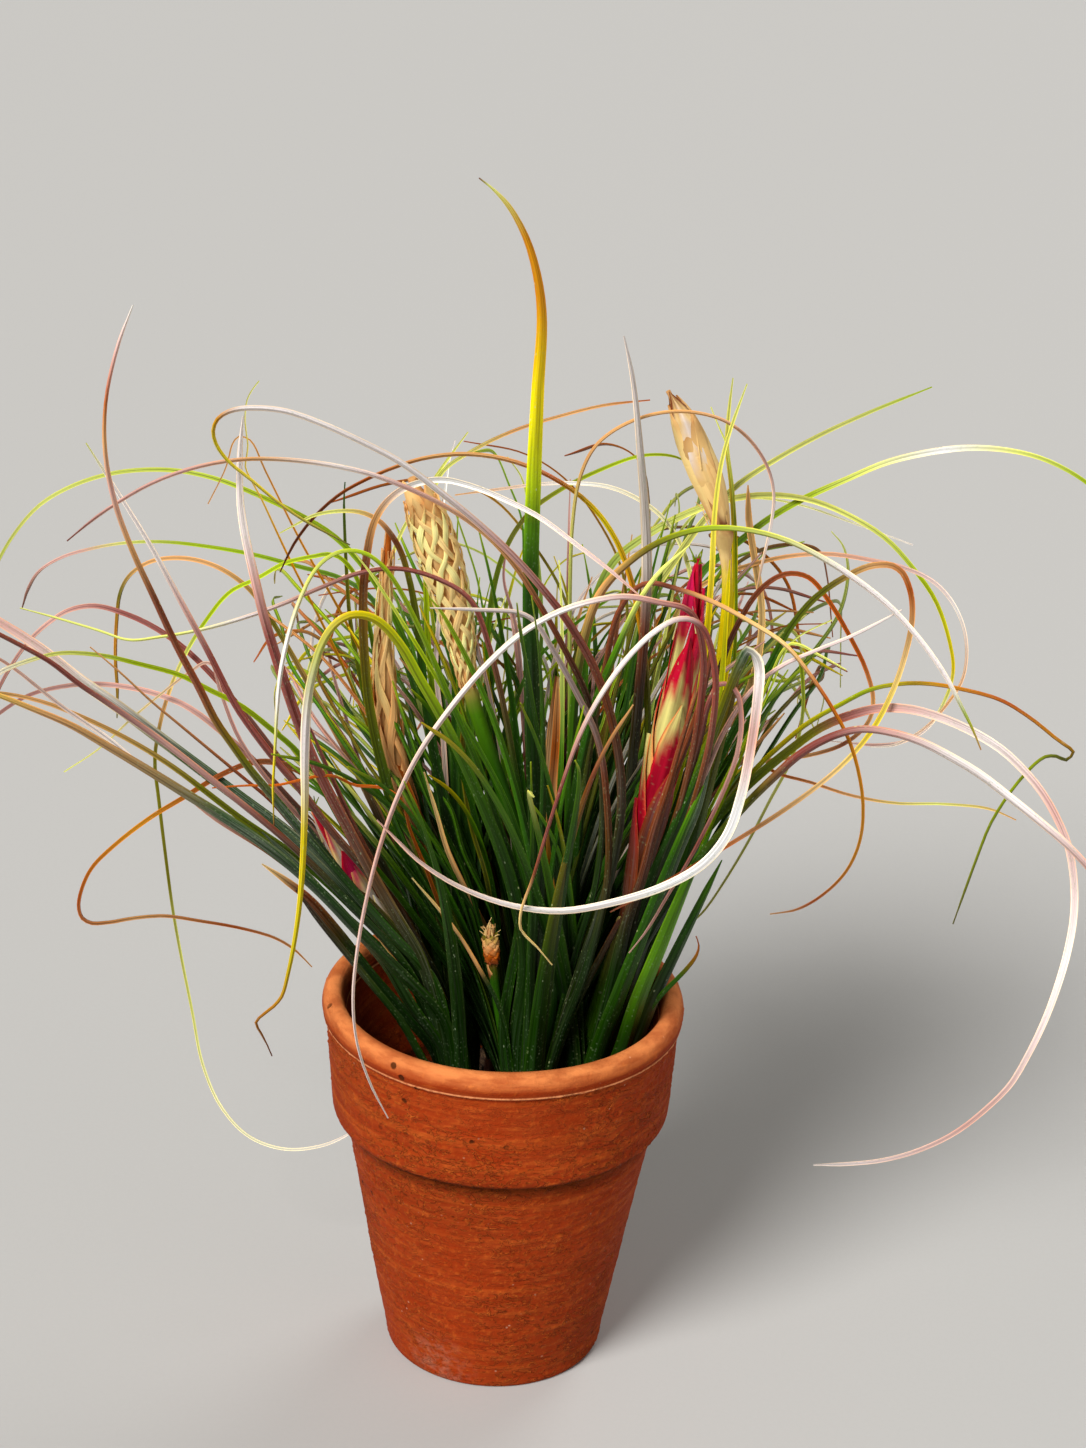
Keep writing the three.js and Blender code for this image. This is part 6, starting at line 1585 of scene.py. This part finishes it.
class PLANT_OT_pot(bpy.types.Operator):
    """Turn the clay pot over the CAD pot"""

    bl_idname = "plant.pot"
    bl_label = "Turn the pot"

    def execute(self, context):
        settings = context.scene.plant
        corners = pot_profile()
        top = max(range(len(corners)), key=lambda i: corners[i][1])
        outside = filled(corners[: top + 1], settings.pot.skin / MM)
        profile = np.vstack([outside, filled(corners[top:], INSIDE_STEP)[1:]])
        angles = circle(settings.pot.sides)
        groove = settings.pot.groove / MM
        noise.seed_set(WRINKLE_SEED)
        low, high = TURNED_HEIGHTS
        rings, skins = [], []
        for row, (radius, z) in enumerate(profile):
            wave = groove * sum(size * math.sin(z * pace + start) for size, pace, start in TURNED_WAVES)
            wave *= 1 if low < z < high else 0
            wobble = sum(size * np.sin(waves * angles + z * pace + start)
                         for size, waves, pace, start in WOBBLES)
            skin = np.zeros(len(angles))
            if row < len(outside) and z > 1:
                skin = np.array([self.fold(radius * math.cos(a), radius * math.sin(a), z) for a in angles])
            reach = radius - groove / 2 + wave * 0.6 + (wobble - 0.2) * min(1, z / 4) + (skin - 0.8) * 0.16
            rings.append(ring(reach, z, angles))
            skins.append(skin)
        shape = Shape()
        shape.add_rings(np.array(rings), angles / (2 * math.pi), profile[:, 1] * 0.1,
                        np.ones((len(rings), 3)), np.array(skins), closed=False)
        shape.piece("clay_pot", clay_material(settings), "pot", sharp=60)
        return {"FINISHED"}

    def fold(self, x, y, z):
        """How far the clay's skin stands out: wrinkles over part of the pot, and grit."""
        place = Vector((x, y, z * 1.9))
        bent = place * 0.5 + noise.noise_vector(place * 0.3) * 0.7
        ridge = max(0.0, 1 - abs(noise.noise(bent)) / 0.2)
        more = 0.25 if z < POT["height"] - POT["lip"] else -0.3
        spread = noise.noise(Vector((x + 40, y, z)) * 0.06) + more
        grit = max(0.0, noise.noise(Vector((x, y, z)) * 0.7 + Vector((5, 9, 2))) - 0.52) * 5
        return (ridge * 1.3 - 0.35) * min(1, max(0, spread * 3)) + grit


class PLANT_OT_bark(bpy.types.Operator):
    """Fill the pot with bark chips over the CAD growing medium"""

    bl_idname = "plant.bark"
    bl_label = "Fill in the bark"

    def execute(self, context):
        settings = context.scene.plant
        shape = Shape()
        tone = np.array(tuple(settings.bark.bark))
        angles = circle(48)
        low, top = POT["floor"] + GAP, MEDIUM_TOP
        rim = pot_inside(top) - 0.7
        profile = [(0.1, low), (pot_inside(low) - 2.5, low), (pot_inside(low + 3) - 1, low + 3),
                   (rim, top - 1), (rim - 2, top), (rim * 0.6, top + 0.6), (rim * 0.3, top + 0.4),
                   (0.1, top + 0.5)]
        count = len(profile)
        rings = np.array([ring(r, z, angles) for r, z in profile])
        shape.add_rings(rings, angles / 6, np.arange(count) * 0.5, np.tile(tone, (count, 1)) * 0.5,
                        np.zeros(count))
        draws = Draws(91)
        count = settings.bark.chips
        for i in range(count):
            radius = (rim - 3.5) * math.sqrt((i + 0.5) / count)
            turn = math.radians(GOLDEN_ANGLE * i)
            self.chip(shape, settings, draws, radius * math.cos(turn), radius * math.sin(turn), tone)
        shape.piece("bark_chips", bark_material(settings), "growing_medium", sharp=28)
        return {"FINISHED"}

    def chip(self, shape, settings, draws, x, y, tone):
        """A broken flake of bark, lying at a tilt."""
        size = settings.bark.chip / MM * draws.between(0.55, 1.15)
        angles = circle(9)
        outline = np.array([draws.between(0.72, 1.1) for _ in angles])
        rings = []
        for height, spread in CHIP_RINGS:
            jitter = outline * np.array([draws.between(0.92, 1.08) for _ in angles])
            flat = ring(size / 2 * spread * jitter, 0, angles)
            flat[:, 1] *= 0.62
            flat[:, 2] = height * size * 0.34 + np.array([draws.between(-0.2, 0.2) for _ in angles])
            rings.append(flat)
        tilt = Matrix.Rotation(draws.between(0, 2 * math.pi), 3, "Z")
        for axis in "XY":
            tilt = tilt @ Matrix.Rotation(draws.between(-0.45, 0.45), 3, axis)
        rings = np.array(rings) @ np.array(tilt).T
        rings = rings + np.array([x, y, MEDIUM_TOP + draws.between(0.4, 2)])
        tint = np.tile(tone * draws.between(0.6, 1.5), (len(rings), 1))
        shape.add_rings(rings, angles / 6, np.arange(len(rings)) * 0.2, tint, np.zeros(len(rings)))


class PLANT_OT_live_spikes(bpy.types.Operator):
    """Dress the two live flower spikes with crimson and cream bracts"""

    bl_idname = "plant.live_spikes"
    bl_label = "Dress the live flower spikes"

    def execute(self, context):
        settings = context.scene.plant
        for order, (name, kinds) in enumerate(LIVE_BRACTS.items()):
            spike = Spike(name)
            shape = Shape()
            draws = Draws(6101 + order)
            add_core(shape, spike, "green 0 leaf .3 cream .5 crimson .75 crimson 1", settings)
            last = spike.values["bracts"] - 1
            for index in range(last + 1):
                shades, margin = next(kind[1:] for kind in kinds if index / last <= kind[0])
                add_bract(shape, spike, spike.bract_start(index), settings, draws, shades, margin)
            for at, turn, run in SIDE_LOBES if name == "flower_spike_left" else ():
                add_bract(shape, spike, (at * spike.route.steps, turn, run), settings, draws,
                          "magenta 0 magenta .5 crimson 1", "crimson", 0.24)
            wrapped_fibres(shape, spike, 6, settings, draws, "cream 0 white .6 white 1", 0.84)
            self.tuft(shape, spike, settings, draws)
            material = leaf_material("scaly_leaf", settings)
            shape.piece(name.replace("flower", "live"), material, name)
        return {"FINISHED"}

    def tuft(self, shape, spike, settings, draws):
        """The withered flower at the spike's tip."""
        start, ahead = spike.end(0.6)
        for _ in range(11):
            aim = ahead + draws.offset(0.7)
            points = [start, start + aim * 1.3, start + aim * 2.4 + draws.offset(0.8)]
            add_fibre(shape, points, 0.5, "crimson 0 leaf .3 lime .7 olive 1", settings)


class PLANT_OT_dry_spikes(bpy.types.Operator):
    """Dress the dried flower spikes and the cut stem with straw bracts and loose fibres"""

    bl_idname = "plant.dry_spikes"
    bl_label = "Dress the dried spikes"

    def execute(self, context):
        settings = context.scene.plant
        for order, name in enumerate(name for name in SPIKES if "stem" in SPIKES[name]):
            values = SPIKES[name]
            spike = Spike(name)
            shape = Shape()
            draws = Draws(7101 + order)
            add_core(shape, spike, values["stem"], settings)
            stub = name == "scape_stub"
            for index in range(values["bracts"]):
                shades = ("tan 0 straw .9 tan 1", "tan 0 straw 1")[index % 2]
                if stub:
                    shades = "green 0 brown .5 tan 1"
                add_bract(shape, spike, spike.bract_start(index), settings, draws, shades, "tan", splay=-0.22)
            if "strands" in values:
                woven_strands(shape, spike, values["strands"], 4.6, settings, draws,
                              values.get("strand", "tan 0 straw .15 straw .9 tan 1"))
            else:
                for at, end, turn, splay, shades in DRY_SHEETS:
                    start = (at * spike.route.steps, turn, (end - at) * spike.route.length)
                    add_bract(shape, spike, start, settings, draws, shades, "brown", splay)
            fibres = settings.spikes.fibres if name == "dry_spike_braided" else 6
            wrapped_fibres(shape, spike, fibres, settings, draws, "straw 0 straw .6 tan 1")
            if stub:
                self.fray(shape, spike, settings, draws)
            shape.piece(name + "_dressed", leaf_material("papery_bract", settings), name)
        return {"FINISHED"}

    def fray(self, shape, spike, settings, draws):
        """The cut stem's frayed end."""
        place, ahead = spike.end(1.0)
        for _ in range(16):
            aim = (ahead + draws.offset(0.5)).normalized()
            start = place + draws.offset(1)
            run = draws.between(2, 4.6)
            add_fibre(shape, [start, start + aim * run * 0.6, start + aim * run + draws.offset(0.7)], 0.3,
                      "tan 0 straw .5 straw 1", settings)


class PLANT_OT_stage(bpy.types.Operator):
    """Lay the floor, hang the lights and set the camera"""

    bl_idname = "plant.stage"
    bl_label = "Set the stage"

    def execute(self, context):
        stage = context.scene.plant.stage
        half = stage.size / 2
        mesh = bpy.data.meshes.new("floor")
        mesh.from_pydata([(-half, -half, 0), (half, -half, 0), (half, half, 0), (-half, half, 0)], [],
                         [(0, 1, 2, 3)])
        floor = bpy.data.objects.new("floor", mesh)
        context.scene.collection.objects.link(floor)
        shader = Shader("floor")
        grain = shader.noise(shader.object_place(), 900)
        tone = shader.mix(shader.ramp(grain, 0.3, 0.7, 0, 0.06), stage.floor, (0.6, 0.59, 0.57))
        mesh.materials.append(shader.finish(Base_Color=tone, Roughness=0.8))
        self.surround(context, stage)
        for name, (place, angle), energy in (("key", KEY_SUN, stage.key), ("back", BACK_SUN, stage.rim),
                                             ("fill", FILL_SUN, stage.fill)):
            sun = bpy.data.lights.new(name, "SUN")
            sun.energy = energy
            sun.angle = math.radians(angle)
            obj = bpy.data.objects.new(name, sun)
            obj.rotation_euler = (-Vector(place)).to_track_quat("-Z", "Y").to_euler()
            context.scene.collection.objects.link(obj)
        self.camera(context)
        context.scene.view_settings.view_transform = "Standard"
        return {"FINISHED"}

    def surround(self, context, stage):
        """A pale surround that is seen brighter than it lights."""
        world = bpy.data.worlds.new("surround")
        world.use_nodes = True
        nodes, links = world.node_tree.nodes, world.node_tree.links
        light, seen = nodes["Background"], nodes.new("ShaderNodeBackground")
        for node, strength in ((light, stage.surround), (seen, stage.backdrop)):
            node.inputs[0].default_value = tuple(stage.sky) + (1,)
            node.inputs[1].default_value = strength
        mix = nodes.new("ShaderNodeMixShader")
        links.new(nodes.new("ShaderNodeLightPath").outputs["Is Camera Ray"], mix.inputs[0])
        links.new(light.outputs[0], mix.inputs[1])
        links.new(seen.outputs[0], mix.inputs[2])
        links.new(mix.outputs[0], nodes["World Output"].inputs["Surface"])
        context.scene.world = world

    def camera(self, context):
        """The photograph's camera."""
        data = bpy.data.cameras.new("camera")
        data.sensor_width = SENSOR
        data.lens = FOCAL / PICTURE[1] * SENSOR
        data.clip_start, data.clip_end = CLIP
        obj = bpy.data.objects.new("camera", data)
        turn = Matrix((VIEW_RIGHT, VIEW_UP, VIEW_BACK)).transposed()
        obj.matrix_world = Matrix.Translation(VIEW_EYE * MM) @ turn.to_4x4()
        context.scene.collection.objects.link(obj)
        context.scene.camera = obj


GROUPS = (PlantShades, LeafSettings, SpikeSettings, PotSettings, BarkSettings, StageSettings, PlantSettings)
OPERATORS = (PLANT_OT_pot, PLANT_OT_bark, PLANT_OT_rosettes, PLANT_OT_live_spikes, PLANT_OT_dry_spikes,
             PLANT_OT_stage)


class PLANT_PT_panel(bpy.types.Panel):
    """The plant's pieces, in the order in which they are made"""

    bl_label = "Potted air plant"
    bl_idname = "PLANT_PT_panel"
    bl_space_type = "VIEW_3D"
    bl_region_type = "UI"
    bl_category = "Plant"

    def draw(self, context):
        for operator in OPERATORS:
            self.layout.operator(operator.bl_idname)


def register():
    for group in GROUPS:
        bpy.utils.register_class(group)
    bpy.types.Scene.plant = PointerProperty(type=PlantSettings)
    for operator in OPERATORS:
        bpy.utils.register_class(operator)
    bpy.utils.register_class(PLANT_PT_panel)


def unregister():
    bpy.utils.unregister_class(PLANT_PT_panel)
    for operator in reversed(OPERATORS):
        bpy.utils.unregister_class(operator)
    del bpy.types.Scene.plant
    for group in reversed(GROUPS):
        bpy.utils.unregister_class(group)


def main():
    register()
    for operator in OPERATORS:
        group, name = operator.bl_idname.split(".")
        getattr(getattr(bpy.ops, group), name)()


if __name__ == "__main__":
    main()
